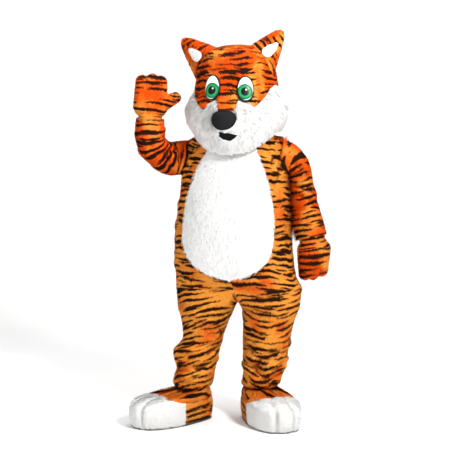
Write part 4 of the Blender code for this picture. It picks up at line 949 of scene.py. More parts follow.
def white_fur(name, root_shade=0.93, tip_shade=0.97, spots=26.0):
    """White pile with painted shade: darker towards the strands' roots, in patches between its
    clumps, and in the folds' troughs.
    """
    net = Net(name)
    cut, strand = net.uv("cut"), net.split(net.uv("strand"))
    # Painted shade in patches between the clumps, darker at the roots than at the tips
    clump = net.ramp(net.noise(cut, spots, 3.0, 0.6), 0.35, 0.62)
    low = net.mix(clump, shaded((1.0, 1.005, 0.98), root_shade), (0.96, 0.96, 0.955))
    high = net.mix(clump, shaded((1.0, 1.003, 0.99), tip_shade), (0.985, 0.985, 0.98))
    colour = net.mix(strand[0], low, high)
    # Painted shade in the folds' troughs, times a random tone for each strand
    deep = net.times(net.split(net.uv("dip"))[0], 0.45)
    colour = net.scaled(net.mix(deep, colour, FOLD_SHADE_WHITE), net.plus(strand[1], 0.05, 0.95))
    net.bump(net.noise(cut, 380.0, 2.0), 0.0015, 0.5)
    return net.finish(colour, 0.60, 0.25, sheen=0.20)


def backing(name, colour):
    """Knitted backing of the fur cloth."""
    net = Net(name)
    cut = net.uv("cut")
    u, v, _ = net.split(cut)
    knit = net.times(net.math("SINE", net.times(u, 2600.0)), net.math("SINE", net.times(v, 1900.0)))
    net.bump(knit, 0.0006, 0.6)
    shade = net.mix(net.noise(cut, 30.0, 3.0), shaded(colour, 0.8), colour)
    return net.finish(shade, 0.85, 0.2, sheen=0.1)


def foam(name, colour):
    net = Net(name)
    cut = net.uv("cut")
    net.bump(net.noise(cut, 700.0, 3.0), 0.0008, 0.7)
    shade = net.mix(net.noise(cut, 25.0, 3.0), shaded(colour, 0.82), colour)
    return net.finish(shade, 0.90, 0.2)


def inked(name, colour, roughness, grain, depth, specular):
    """A moulded or flocked finish with a fine grain and faint wear."""
    net = Net(name)
    place = net.place()
    spots = net.noise(place, 18.0, 3.0)
    net.bump(net.noise(place, grain, 2.0), depth, 0.6)
    rough = net.ramp(spots, 0.3, 0.7, roughness - 0.05, roughness + 0.08)
    return net.finish(net.mix(spots, shaded(colour, 0.75), colour), rough, specular)


def zip_metal(name):
    net = Net(name)
    worn = net.noise(net.place(), 130.0, 3.0)
    shade = net.mix(worn, (0.10, 0.09, 0.08), (0.30, 0.27, 0.23))
    net.bump(worn, 0.0003, 0.5)
    return net.finish(shade, net.ramp(worn, 0.3, 0.7, 0.30, 0.48), 0.5, metal=0.9)


IRIS = 0.036  # radius
IRIS_DROP = 0.015  # its middle lies this far below the eye's


def eye_paint(name, side):
    """A round green iris with a dark pupil and a painted glint on white, and a black line round the
    eye.
    """
    net = Net(name)
    cut = net.uv("cut")
    x, y, _ = net.split(cut)

    def distance(at_x, at_y):
        return net.math("SQRT", net.squares(net.less(x, at_x), net.less(y, at_y)))

    r = distance(side * 0.003, -IRIS_DROP)
    turn = net.math("ARCTAN2", net.add(y, IRIS_DROP), x)
    rays = net.noise(net.join(net.times(turn, 9.0), net.times(r, 60.0)), 1.6, 3.0)
    iris = net.mix(rays, (0.004, 0.170, 0.050), (0.016, 0.360, 0.120))
    iris = net.mix(net.ramp(r, IRIS * 0.60, IRIS * 0.98), iris, (0.003, 0.120, 0.040))
    inner = net.mix(net.ramp(r, IRIS * 0.56, IRIS * 0.52), iris, grey(0.003))
    white = net.mix(net.noise(cut, 60.0, 2.0), (0.84, 0.86, 0.85), (0.93, 0.94, 0.93))
    colour = net.mix(net.ramp(r, IRIS * 1.02, IRIS * 0.98), white, inner)
    # A painted highlight on the iris
    painted_glint = net.ramp(distance(side * 0.003 + 0.005, -0.006), 0.0042, 0.0034)
    colour = net.mix(painted_glint, colour, grey(0.95))
    narrow = 0.5 * (1 - EYE_LEFT.top_width)
    half_width = net.plus(y, -narrow / EYE_LEFT.half_height, 1 - narrow)
    wide = net.over(x, net.times(half_width, EYE_LEFT.half_width))
    out = net.squares(wide, net.over(y, EYE_LEFT.half_height))
    colour = net.mix(net.ramp(out, 0.73, 0.78), colour, grey(0.004))
    net.bump(net.noise(cut, 240.0, 1.0), 0.0002, 0.3)
    return net.finish(colour, net.ramp(rays, 0.2, 0.8, 0.42, 0.52), 0.15, coat=0.05)


TIGER = tiger_fur("tiger_fur")
WARM_TIGER = tiger_fur("tiger_fur_warm", 0.43, 0.65)
HEAD_TIGER = tiger_fur("tiger_fur_head", 0.49, 0.67, 1.06, 0.92)
WHITE = white_fur("white_fur")
# The face's white, with deeper painted shade between its clumps
FACE_WHITE = white_fur("white_fur_face", 0.58, 0.84, 44.0)
BACKING = backing("cloth_backing", (0.34, 0.17, 0.08))
FOAM = foam("head_foam", (0.16, 0.16, 0.165))
LINER = backing("boot_lining", (0.05, 0.05, 0.055))
BLACK = inked("flocked_black", (0.012, 0.012, 0.014), 0.80, 900.0, 0.0008, 0.08)
MOUTH_FELT = inked("mouth_felt", grey(0.006), 0.85, 700.0, 0.0008, 0.05)
EYES = {"left": eye_paint("eye_paint_left", -1), "right": eye_paint("eye_paint_right", 1)}
RUBBER = inked("sole_rubber_worn", (0.055, 0.052, 0.05), 0.78, 260.0, 0.0012, 0.3)
TAPE = backing("zip_tape_weave", (0.30, 0.085, 0.012))
METAL = zip_metal("zip_metal")

# --- the suit ----------------------------------------------------------------


def leg_cloth(hand, rows, folds, creases, sign, outside=52, inside=26, blend=16, levels=78):
    share_out, share_in = np.linspace(0, 1, outside), np.linspace(0, 1, inside + 2)[1:-1]
    first, last = -90 + CROTCH_REACH, 270 - CROTCH_REACH
    turn = np.concatenate([first + (last - first) * share_out,
                           last + (360 + first - last) * share_in])
    top = rows[-1].height
    heights = np.linspace(rows[0].height, top, levels)
    down, level = np.meshgrid(heights, turn, indexing="ij")
    around = np.radians(level) * LEG_WAVES
    share = np.linspace(0, 1, blend + 1)[1:]
    skins = []
    for depth in (PLUSH_SINK, PLUSH_SINK + PLUSH_THICK):
        hip = hip_ring(sign, share_out, share_in, depth)
        grow = -depth + 0.0016 * ripple(around, down, 0.070, sign + 5)
        grow = grow + 0.0008 * ripple(around, down, 0.028, sign + 6)
        grow = grow + fold_height(creases, level, down, LEG_ROUND)
        rings = leg_ring(rows, folds, sign, level, down, grow)
        rise = share[:, None, None]
        skins.append(np.concatenate([rings, rings[-1] * (1 - rise) + hip * rise]))
    height = np.concatenate([heights, top + (HIP - top) * share])[:, None]
    across = np.append(turn, turn[0] + 360)[None, :]
    across = np.where(across > 270, across - 360, across)  # the cloth's ends meet inside the leg
    around = np.radians(across) * LEG_CUT
    # Stripes fall to the outside on the right leg, and rise to both sides of the left shin
    rise = -0.22 * around if sign < 0 else 0.24 * np.hypot(around + 0.010, 0.030)
    uv = np.stack(np.broadcast_arrays(around, height - rise), axis=-1)
    shell(f"leg_{hand}_cloth", *skins, uv, [TIGER, BACKING], closed=True)


def armhole_ring(sign, turn, lift, shrink):
    c = np.cos(np.radians(turn))
    height = ARMHOLE_CENTRE + ARMHOLE_HALF_HEIGHT * c
    reach = armhole_reach(height) * np.where(turn <= 180, 1, -1)
    centre = torso_point(np.array(sign * 90.0), np.array(ARMHOLE_CENTRE), lift, False)
    point = torso_point(sign * (90 - reach), height, lift, False)
    return point + unit(centre - point) * shrink


def sleeve_cloth(hand, rows, folds, creases, sign, columns=60, steps=84):
    start = torso_point(np.array(sign * 90.0), np.array(ARMHOLE_CENTRE), 0.0, False)
    stations, along, before = [], 0.0, start
    for row in (None, *rows):
        place = np.array(row[:3]) if row else start
        along += float(np.linalg.norm(place - before))
        stations.append((along, *place, *(row or rows[0])[3:]))
        before = place
    stations = table("along " + SLEEVE, *stations)
    at = np.linspace(0.0, along, steps)
    place, behind, ahead = (
        np.stack([read(stations, c, s) for c in "xyz"], axis=-1)
        for s in (at, np.maximum(0, at - 0.006), np.minimum(along, at + 0.006))
    )
    ahead = unit(ahead - behind)
    turn = np.linspace(0, 360, columns + 1)[:-1]
    c, s = np.cos(np.radians(turn))[:, None], np.sin(np.radians(turn))[:, None]
    skins = []
    for depth in (PLUSH_SINK, PLUSH_SINK + PLUSH_THICK):
        oval = armhole_ring(sign, turn, 0.0, 2 * SEAM + depth)
        rings = [armhole_ring(sign, turn, -PLUSH, 2 * SEAM + depth)]
        up = np.array((0.0, 0.0, 1.0))
        for k in range(steps):
            up = unit(up - ahead[k] * np.dot(up, ahead[k]))
            front = np.cross(ahead[k], up) * sign
            blend = smooth_step(at[k] / SLEEVE_BLEND)
            wide, deep = (read(stations, n, at[k]) for n in ("half_width", "half_depth"))
            level = turn * 0 + at[k]
            out = fold_height(folds, turn, level, wide)
            out = out + fold_height(creases, turn, level, wide)
            out = out + 0.0014 * ripple(np.radians(turn) * SLEEVE_CUT, level, 0.060, sign + 8)
            out = (out * blend - depth)[:, None]
            ring = place[k] + up * c * (wide + out) + front * s * (deep + out)
            rings.append((oval + place[k] - start) * (1 - blend) + ring * blend)
        skins.append(np.stack(rings))
    height = -np.concatenate([[-PLUSH], at])[:, None]
    across = np.linspace(0, 2 * np.pi, columns + 1)[None, :] * SLEEVE_CUT
    uv = np.stack(np.broadcast_arrays(across, height), axis=-1)
    nap = np.zeros_like(skins[0])
    nap[:-1] = skins[0][1:] - skins[0][:-1]
    nap[-1] = nap[-2]
    shell(f"sleeve_{hand}_cloth", *skins, uv, [WARM_TIGER, BACKING], closed=True, nap=nap)


def belly_point(angle, height, lift):
    """The white belly stands a little proud of the torso."""
    return torso_point(angle, height, lift + LONG_PILE - PLUSH)


for name, start, end, columns in (
    ("front_left_cloth", belly_edge, lambda h: 90 - side_edge(h), 38),
    ("front_right_cloth", lambda h: -90 + side_edge(h), lambda h: -belly_edge(h), 38),
    ("back_left_cloth", lambda h: 90 + side_edge(h), back_edge, 40),
    ("back_right_cloth", lambda h: -back_edge(h), lambda h: -90 - side_edge(h), 40),
):
    panel(name, torso_point, start, end, HIP, 116, columns, PLUSH_SINK, TIGER)
panel("belly_cloth", belly_point, lambda h: -belly_rim(h), belly_rim, BELLY_LOW, 110, 56,
      WHITE_SINK, WHITE)
leg_cloth("left", LEG_LEFT, LEG_LEFT_FOLDS, LEG_LEFT_CREASES, 1)
leg_cloth("right", LEG_RIGHT, LEG_RIGHT_FOLDS, LEG_RIGHT_CREASES, -1)
sleeve_cloth("left", SLEEVE_LEFT, SLEEVE_LEFT_FOLDS, SLEEVE_LEFT_CREASES, 1)
sleeve_cloth("right", SLEEVE_RIGHT, SLEEVE_RIGHT_FOLDS, SLEEVE_RIGHT_CREASES, -1)

# --- the head ----------------------------------------------------------------


def whiskered(points):
    """The face's pile runs out and down from the nose."""
    away = points - np.array(HEAD_MATRIX @ Vector((0.0, -0.16, -0.02)))
    return unit(away) + np.array((0.0, 0.0, -0.9))


def swept(points):
    """The crown's pile runs up the brow and back over the head."""
    ahead = np.array(HEAD_TURN @ Vector((0.0, 1.0, 0.0)))
    height = (points[..., 2:] - HEAD_PLACE.z) / 0.28
    return ahead + np.array((0.0, 0.0, 1.0)) * (0.9 - 1.4 * height)


def down_back(points):
    return 0 * points + np.array((0.0, 0.0, -1.0))


def flat_cut(mesh, steep=0.80):
    """The crown's top is a panel cut flat, so that its stripes don't close on a point."""
    layer = mesh.uv_layers["cut"]
    for polygon in mesh.polygons:
        if polygon.normal.z > steep:
            for loop in polygon.loop_indices:
                place = mesh.vertices[mesh.loops[loop].vertex_index].co
                layer.uv[loop].vector = (place.x, place.y + 0.9)


RAY_START = 0.08  # rays that seat a piece on another start this far out
gap = math.degrees(SHAPED_SEAM / 2 / HEAD_ROUND)
below, above = edge_of(FACE_EDGE, -SHAPED_SEAM / 2), edge_of(FACE_EDGE, SHAPED_SEAM / 2)
look = dict(radius=HEAD_CUT, thick=FOAM_THICK, row_edge=0.5)
window("face_cloth", head_point, arc(-100, 100, gap, 84, 0.3), HEAD[0].height, below, 40,
       materials=[FACE_WHITE, FOAM], sink=WHITE_SINK + 0.002, wander=0.0012, nap=whiskered, **look)
window("head_back_cloth", head_point, arc(100, 260, gap, 56, 0.3), HEAD[0].height, below, 30,
       materials=[HEAD_TIGER, FOAM], sink=PLUSH_SINK, nap=down_back, **look)
window("crown_cloth", head_point, np.linspace(-100, 260, 151)[:-1], above, HEAD[-1].height, 62,
       materials=[HEAD_TIGER, FOAM], sink=PLUSH_SINK, closed=True, capped=True, nap=swept, **look)
flat_cut(pieces["crown_cloth"].data)


def quads(maker, a, b):
    """Faces between two closed rings of vertices."""
    for i in range(len(a)):
        k = (i + 1) % len(a)
        maker.faces.new((a[i], a[k], b[k], b[i]))


def domed(name, spec, tree, middle, out, up, material, lift, thin=0.002, rings=14, spokes=56,
          bend=0.0, ragged=0.0):
    """A domed piece on what lies below it, with its outline's distances as UV."""
    up = (up - out * up.dot(out)).normalized()
    side = up.cross(out)
    maker = bmesh.new()
    layer = maker.loops.layers.uv.new("cut")
    flat_of = {}
    edges = []
    for thickness, rise in ((0.0, 0.0), (thin, spec.rise)):
        rows = []
        for r in range(1, rings + 1):
            share = math.sin(math.pi / 2 * r / rings)
            row = []
            for i in range(spokes):
                turn = 2 * math.pi * i / spokes
                c, s = math.cos(turn), math.sin(turn)
                x = math.copysign(abs(c) ** (2 / spec.squareness), c) * spec.half_width
                z = math.copysign(abs(s) ** (2 / spec.squareness), s) * spec.half_height
                x *= 1 + (spec.top_width - 1) * 0.5 * (1 + z / spec.half_height)
                frayed = 1 + ragged * (math.sin(5 * turn + 1) + 0.7 * math.sin(9 * turn) - 0.9)
                x, z = x * frayed, z * frayed + bend * (x / spec.half_width) ** 2
                flat = middle + (side * x + up * z) * share
                hit = tree.ray_cast(flat + out * RAY_START, -out)[0] or tree.find_nearest(flat)[0]
                height = lift + thickness + rise * math.sqrt(1 - share * share)
                row.append(maker.verts.new(hit + out * height))
                flat_of[row[-1]] = (x * share, z * share)
            rows.append(row)
        hit = tree.ray_cast(middle + out * RAY_START, -out)[0]
        hub = maker.verts.new(hit + out * (lift + thickness + rise))
        flat_of[hub] = (0.0, 0.0)
        for i in range(spokes):
            k = (i + 1) % spokes
            maker.faces.new((hub, rows[0][i], rows[0][k]))
            for a, b in zip(rows, rows[1:]):
                maker.faces.new((a[i], b[i], b[k], a[k]))
        edges.append(rows[-1])
    back, front = edges
    quads(maker, back, front)
    for face in maker.faces:
        for loop in face.loops:
            loop[layer].uv = flat_of[loop.vert]
    add_made(name, maker, material)


def ear_cloth(name, spec, tree, middle, out, tip, spokes=44, rows=30):
    lean = HEAD_TURN @ Vector((-math.copysign(spec.lean, spec.angle), 0.0, 1.0))
    up = (lean - out * lean.dot(out)).normalized()
    side = up.cross(out)
    base = []
    for i in range(spokes):
        t = 2 * math.pi * i / spokes
        flat = (middle + side * (math.cos(t) * (spec.half_depth - PLUSH_SINK))
                + up * (math.sin(t) * (spec.half_length - PLUSH_SINK)))
        base.append(tree.ray_cast(flat + out * RAY_START, -out)[0] + out * 0.0008)
    maker = bmesh.new()
    layer = maker.loops.layers.uv.new("cut")
    verts = []
    for r in range(rows + 1):
        share = r / rows
        narrow = (1 - share**1.15) * (1 - spec.tip_share) + spec.tip_share
        narrow *= 0.10 + 0.90 * math.sqrt(max(0.0, 1 - max(0.0, (share - 0.80) / 0.20) ** 2))
        centre = middle.lerp(tip, min(1.0, share * 1.04))
        verts.append([maker.verts.new(centre + (p - middle) * narrow) for p in base])
    shift = next_patch()
    for r in range(rows):
        for i in range(spokes):
            k = (i + 1) % spokes
            face = maker.faces.new((verts[r][i], verts[r][k], verts[r + 1][k], verts[r + 1][i]))
            for loop, (a, b) in zip(face.loops, ((i, r), (i + 1, r), (i + 1, r + 1), (i, r + 1))):
                loop[layer].uv = (a / spokes * 0.40 + shift[0], b / rows * 0.15 + shift[1])
    for rim in (verts[0], verts[-1]):
        for loop in maker.faces.new(rim).loops:
            loop[layer].uv = (shift[0], shift[1] + 0.15)
    add_made(name, maker, HEAD_TIGER, 70)
    outer_faces[name] = rows * spokes
    same_nap(name, (tip - middle).normalized())


head_tree = piece_tree("face_cloth", "crown_cloth")
UPRIGHT = Vector((0, 0, 1))
for name, spec, up, material, lift, shape in (
    ("eye_left_dome", EYE_LEFT, UPRIGHT, EYES["left"], 0.0055, {}),
    ("eye_right_dome", EYE_RIGHT, UPRIGHT, EYES["right"], 0.0055, {}),
    ("nose_foam", NOSE, UPRIGHT, BLACK, 0.0060, {}),
    ("mouth_felt_patch", MOUTH, Vector((0.16, 0, 1)), MOUTH_FELT, 0.0085,
     dict(bend=0.0075, ragged=0.07)),
):
    domed(name, spec, head_tree, *spot_on_head(spec.angle, spec.height), up, material, lift,
          **shape)

for hand, spec in (("left", EAR_LEFT), ("right", EAR_RIGHT)):
    ear, lining = f"ear_{hand}_cloth", f"ear_{hand}_lining_cloth"
    middle, out = spot_on_head(spec.angle, spec.height)
    tip = HEAD_MATRIX @ spec.tip + DOWN
    ear_cloth(ear, spec, head_tree, middle, out, tip)
    up = HEAD_TURN @ Vector((math.copysign(0.75, spec.angle), 0.0, 0.66))
    domed(lining, LINING, piece_tree(ear), middle.lerp(tip, LINING_SHARE),
          HEAD_TURN @ Vector((0.0, -1.0, 0.0)), up, WHITE, 0.0006, thin=0.0015, rings=8, spokes=36)
    outer_faces[lining] = None
    same_nap(lining, up)

# --- boots -------------------------------------------------------------------


def boot_cloth(hand, placed):
    point = boot_surface(placed)
    low, top = BOOT[0].height, BOOT[-1].height
    gap = math.degrees(SHAPED_SEAM / 2 / BOOT_CUT)
    below, above = edge_of(TOE_EDGE, -SHAPED_SEAM / 2), edge_of(TOE_EDGE, SHAPED_SEAM / 2)
    for part, angles, start, end, rows, look, sink in (
        ("toes", arc(-80, 80, gap, 90, 0.1), low, below, 30, WHITE, TOE_SINK),
        ("heel", arc(80, 280, gap, 60, 0.2), low, below, 24, TIGER, PLUSH_SINK),
        ("upper", np.linspace(-80, 280, 121)[:-1], above, top, 34, TIGER, PLUSH_SINK),
    ):
        window(f"boot_{hand}_{part}_cloth", point, angles, start, end, rows, BOOT_CUT,
               [look, LINER], sink, BOOT_THICK, closed=part == "upper")
    turns = np.linspace(-180, 180, 97)[:-1]
    maker = bmesh.new()
    rings = []
    for height, inset in SOLE:
        ring = point(turns, 0 * turns + low, -inset)
        rings.append([maker.verts.new((x, y, height - SHOULDER_HEIGHT)) for x, y, _ in ring])
    for a, b in zip(rings, rings[1:]):
        quads(maker, a, b)
    maker.faces.new(list(reversed(rings[0])))
    maker.faces.new(rings[-1])
    add_made(f"boot_{hand}_sole_rubber", maker, RUBBER, 30)


boot_cloth("left", BOOT_LEFT)
boot_cloth("right", BOOT_RIGHT)

# --- paws --------------------------------------------------------------------

PAW_VOXEL = 0.0042
ON_HOLLOW = 0.0015  # faces this near the hollow's form are the lining's


def lobe_solid(maker, lobe, curl, thinner, steps=32, rows=8):
    """A round-ended finger between two spheres, in the paw's own frame."""
    low = lobe.low
    high = low + Matrix.Rotation(math.radians(curl), 3, "X") @ (lobe.high - low)
    axis = (high - low).normalized()
    side = axis.orthogonal().normalized()
    across = axis.cross(side)
    rings = []
    for end, radius, way, turns in (
        (low, lobe.low_radius - thinner, -1, [1 - i / rows for i in range(1, rows + 1)]),
        (high, lobe.high_radius - thinner, 1, [i / rows for i in range(rows)]),
    ):
        for turn in (math.pi / 2 * t for t in turns):
            centre = end + axis * radius * (way * math.sin(turn))
            around = (2 * math.pi * i / steps for i in range(steps))
            rings.append([
                maker.verts.new(centre + (side * math.cos(t) + across * math.sin(t))
                                * (radius * math.cos(turn)))
                for t in around
            ])
    for a, b in zip(rings, rings[1:]):
        quads(maker, a, b)
    for end, ring, reach in ((low, rings[0], thinner - lobe.low_radius),
                             (high, rings[-1], lobe.high_radius - thinner)):
        pole = maker.verts.new(end + axis * reach)
        for i in range(steps):
            maker.faces.new((pole, ring[i], ring[(i + 1) % steps]))


def settled(item):
    """The object's mesh with its modifiers applied."""
    graph = bpy.context.evaluated_depsgraph_get()
    mesh = bpy.data.meshes.new_from_object(item.evaluated_get(graph))
    bpy.data.objects.remove(item)
    return mesh


def paw_solid(paw, thinner, reach):
    maker = bmesh.new()
    radius = paw.cuff_radius - thinner
    bmesh.ops.create_cone(
        maker, cap_ends=True, segments=48, radius1=radius, radius2=radius,
        depth=CUFF_HIGH - CUFF_LOW + reach,
        matrix=Matrix.Translation(Vector((0.0, 0.0, (CUFF_LOW - reach + CUFF_HIGH) / 2))),
    )
    for lobe in (*PAW_LOBES, Lobe(THUMB_ROOT, paw.thumb_tip, *THUMB_RADII)):
        lobe_solid(maker, lobe, paw.curl, thinner)
    item = linked("paw_form", mesh_of(maker, "paw_form"))
    remesh = item.modifiers.new("one_skin", "REMESH")
    remesh.mode, remesh.voxel_size = "VOXEL", PAW_VOXEL
    relax = item.modifiers.new("relax", "SMOOTH")
    relax.factor, relax.iterations = 0.5, 6
    return item


def paw_cloth(name, paw):
    """The paw's padded glove: fur cloth outside, hollow for the hand, its cuff open."""
    glove = paw_solid(paw, PLUSH_SINK, 0.0)
    hollow = paw_solid(paw, PAW_WALL - 0.001, 0.02)
    cut = glove.modifiers.new("hollow", "BOOLEAN")
    cut.operation, cut.solver, cut.object = "DIFFERENCE", "MANIFOLD", hollow
    mesh = settled(glove)
    hole = tree_of(settled(hollow))
    mesh.name = name
    mesh.materials.clear()
    layer = mesh.uv_layers.new(name="cut")
    front, back = next_patch(), next_patch()
    outside = []
    for face in mesh.polygons:
        middle = face.center
        inner = hole.find_nearest(middle)[3] < ON_HOLLOW or middle.z < CUFF_LOW + 0.0005
        outside.append(not inner)
        shift = front if face.normal.y < 0 else back
        for index in face.loop_indices:
            p = mesh.vertices[mesh.loops[index].vertex_index].co
            layer.uv[index].vector = (p.x + shift[0], p.z + shift[1])
    x, y, z = (Matrix.Rotation(math.radians(t), 4, a) for t, a in zip(paw.turn, "XYZ"))
    placed = Matrix.Translation(paw.place) @ (z @ y @ x) @ Matrix.Scale(
        paw.mirror, 4, Vector((1, 0, 0)))
    matrix = Matrix.Translation(DOWN) @ placed
    mesh.transform(matrix)
    if paw.mirror < 0:
        mesh.flip_normals()
    add_piece(name, mesh, (WARM_TIGER, LINER), 60)
    mesh.polygons.foreach_set("material_index", [0 if shown else 1 for shown in outside])
    outer_faces[name] = outside
    same_nap(name, matrix.to_3x3() @ Vector((0.0, 0.0, 1.0)))


paw_cloth("paw_left_glove", PAW_LEFT)
paw_cloth("paw_right_glove", PAW_RIGHT)

# --- the zip -----------------------------------------------------------------

TOOTH_PITCH = 0.0042
TOOTH_SIZE = (0.0032, 0.0016, 0.0022)
# The slider's body, bridge and pull: shift, size and bevel
SLIDER = (
    ((0, 0.0012, 0), (0.0090, 0.0026, 0.0110), 0.0010),
    ((0, 0.0034, 0.0010), (0.0026, 0.0030, 0.0070), 0.0008),
    ((0, 0.0042, -0.0170), (0.0062, 0.0014, 0.0260), 0.0006),
)


def block(maker, matrix, size, bevel, segments):
    made = bmesh.ops.create_cube(maker, size=1.0, matrix=matrix @ Matrix.Diagonal((*size, 1)))
    bmesh.ops.bevel(maker, geom=list({e for v in made["verts"] for e in v.link_edges}),
                    offset=bevel, segments=segments, affect="EDGES")


def zip_spot(turn, level, lift, upright):
    """A frame on the back's seam: x across it, y out of the cloth."""
    a, h = np.array(turn), np.array(level)
    normal = Vector(torso_normal(a, h))
    across = UPRIGHT.cross(normal).normalized()
    up = UPRIGHT if upright else normal.cross(across).normalized()
    place = Vector(torso_point(a, h, np.array(lift))) + DOWN
    return Matrix.Translation(place) @ Matrix((across, normal, up)).transposed().to_4x4()


def zip_pieces():
    low, top = ZIP_LOW + 2 * SEAM, NECKLINE
    heights = np.linspace(low, top, 100)
    share = np.linspace(-1, 1, 7)[None, :]
    half = arc_degrees(ZIP_HALF_WIDTH - SEAM, 180 + 0 * heights, heights)[:, None]
    angle, height = 180 - half * share, np.repeat(heights[:, None], 7, axis=1)
    raised = -0.0022 + 0.0004 * (1 - share**2) + 0 * height
    uv = np.stack([share * ZIP_HALF_WIDTH + 0 * height, height], axis=-1)
    shell("zip_tape_sheet", torso_point(angle, height, raised),
          torso_point(angle, height, raised - 0.0012), uv, [TAPE])
    teeth = bmesh.new()
    for n in range(int((top - low) / TOOTH_PITCH) - 1):
        level = low + 0.004 + n * TOOTH_PITCH
        for side, z in ((-1, level), (1, level + TOOTH_PITCH / 2)):
            block(teeth, zip_spot(180 + side * 0.28, z, -0.0008, True), TOOTH_SIZE, 0.0003, 1)
    add_made("zip_teeth", teeth, METAL, 35)
    slider = bmesh.new()
    spot = zip_spot(180.0, top - 0.018, 0.0004, False)
    for shift, size, bevel in SLIDER:
        block(slider, spot @ Matrix.Translation(Vector(shift)), size, bevel, 2)
    add_made("zip_slider", slider, METAL, 35)


zip_pieces()

# --- painted shade in the folds ----------------------------------------------


def fold_depth(mesh):
    """How deep each vertex lies in a fold, 0 to 1, against the cloth smoothed out round it; the
    pile's painted shade in the folds follows it.
    """
    count = len(mesh.vertices)
    points = fetched(mesh.vertices, "co", 3).astype(float)
    normals = fetched(mesh.vertex_normals, "vector", 3)
    a, b = fetched(mesh.edges, "vertices", 2, np.int32).T
    share = 1 / np.maximum(1, np.bincount(a, minlength=count) + np.bincount(b, minlength=count))
    smooth = points
    for _ in range(DIP_STEPS):
        sums = [np.bincount(a, smooth[b, k], count) + np.bincount(b, smooth[a, k], count)
                for k in range(3)]
        smooth = np.stack(sums, axis=-1) * share[:, None]
    depth = ((smooth - points) * normals).sum(axis=1)
    return smooth_step((depth - DIP_START) / DIP_FULL)


# Painted shade: each cloth's fold depth, kept as a UV so the pile's colour darkens in the troughs
painted_fold_shade = {}
for name, item in pieces.items():
    if name.endswith(("_cloth", "_glove")):
        painted_fold_shade[name] = fold_depth(item.data)
        depth = painted_fold_shade[name][fetched(item.data.loops, "vertex_index", 1, np.int32)]
        add_uv(item.data, "dip", np.stack([depth, depth], axis=1))

# --- pile --------------------------------------------------------------------

PADS = ("eye_left_dome", "eye_right_dome", "nose_foam", "mouth_felt_patch")
# Roots stay this far from the pads; tips that come nearer than the others are cut short
ROOT_CLEAR, TIP_CLEAR, CLUMP_CLEAR = 0.0060, 0.008, 0.007
# Strands begin to stand up at this gap from a neighbour, and do so fully this much nearer
CLOSE_GAP, CLOSE_FADE = 0.034, 0.012
FLOOR_CLEAR = 0.0015


def gaps(trees, points):
    """How far each point is from the nearest of these."""
    return np.array([min(t.find_nearest(Vector(p))[3] for t in trees) for p in points])


def face_of(name, mesh, faces):
    """Which triangles lie on the piece's face, by their polygons."""
    outer = outer_faces[name]
    if outer is None:  # a lining shows where it looks ahead
        flat = unit(np.array([p.normal[:] for p in mesh.polygons]))
        return (flat @ np.array(HEAD_TURN @ Vector((0, -1, 0))) > 0.2)[faces]
    return faces < outer if isinstance(outer, int) else np.array(outer)[faces]


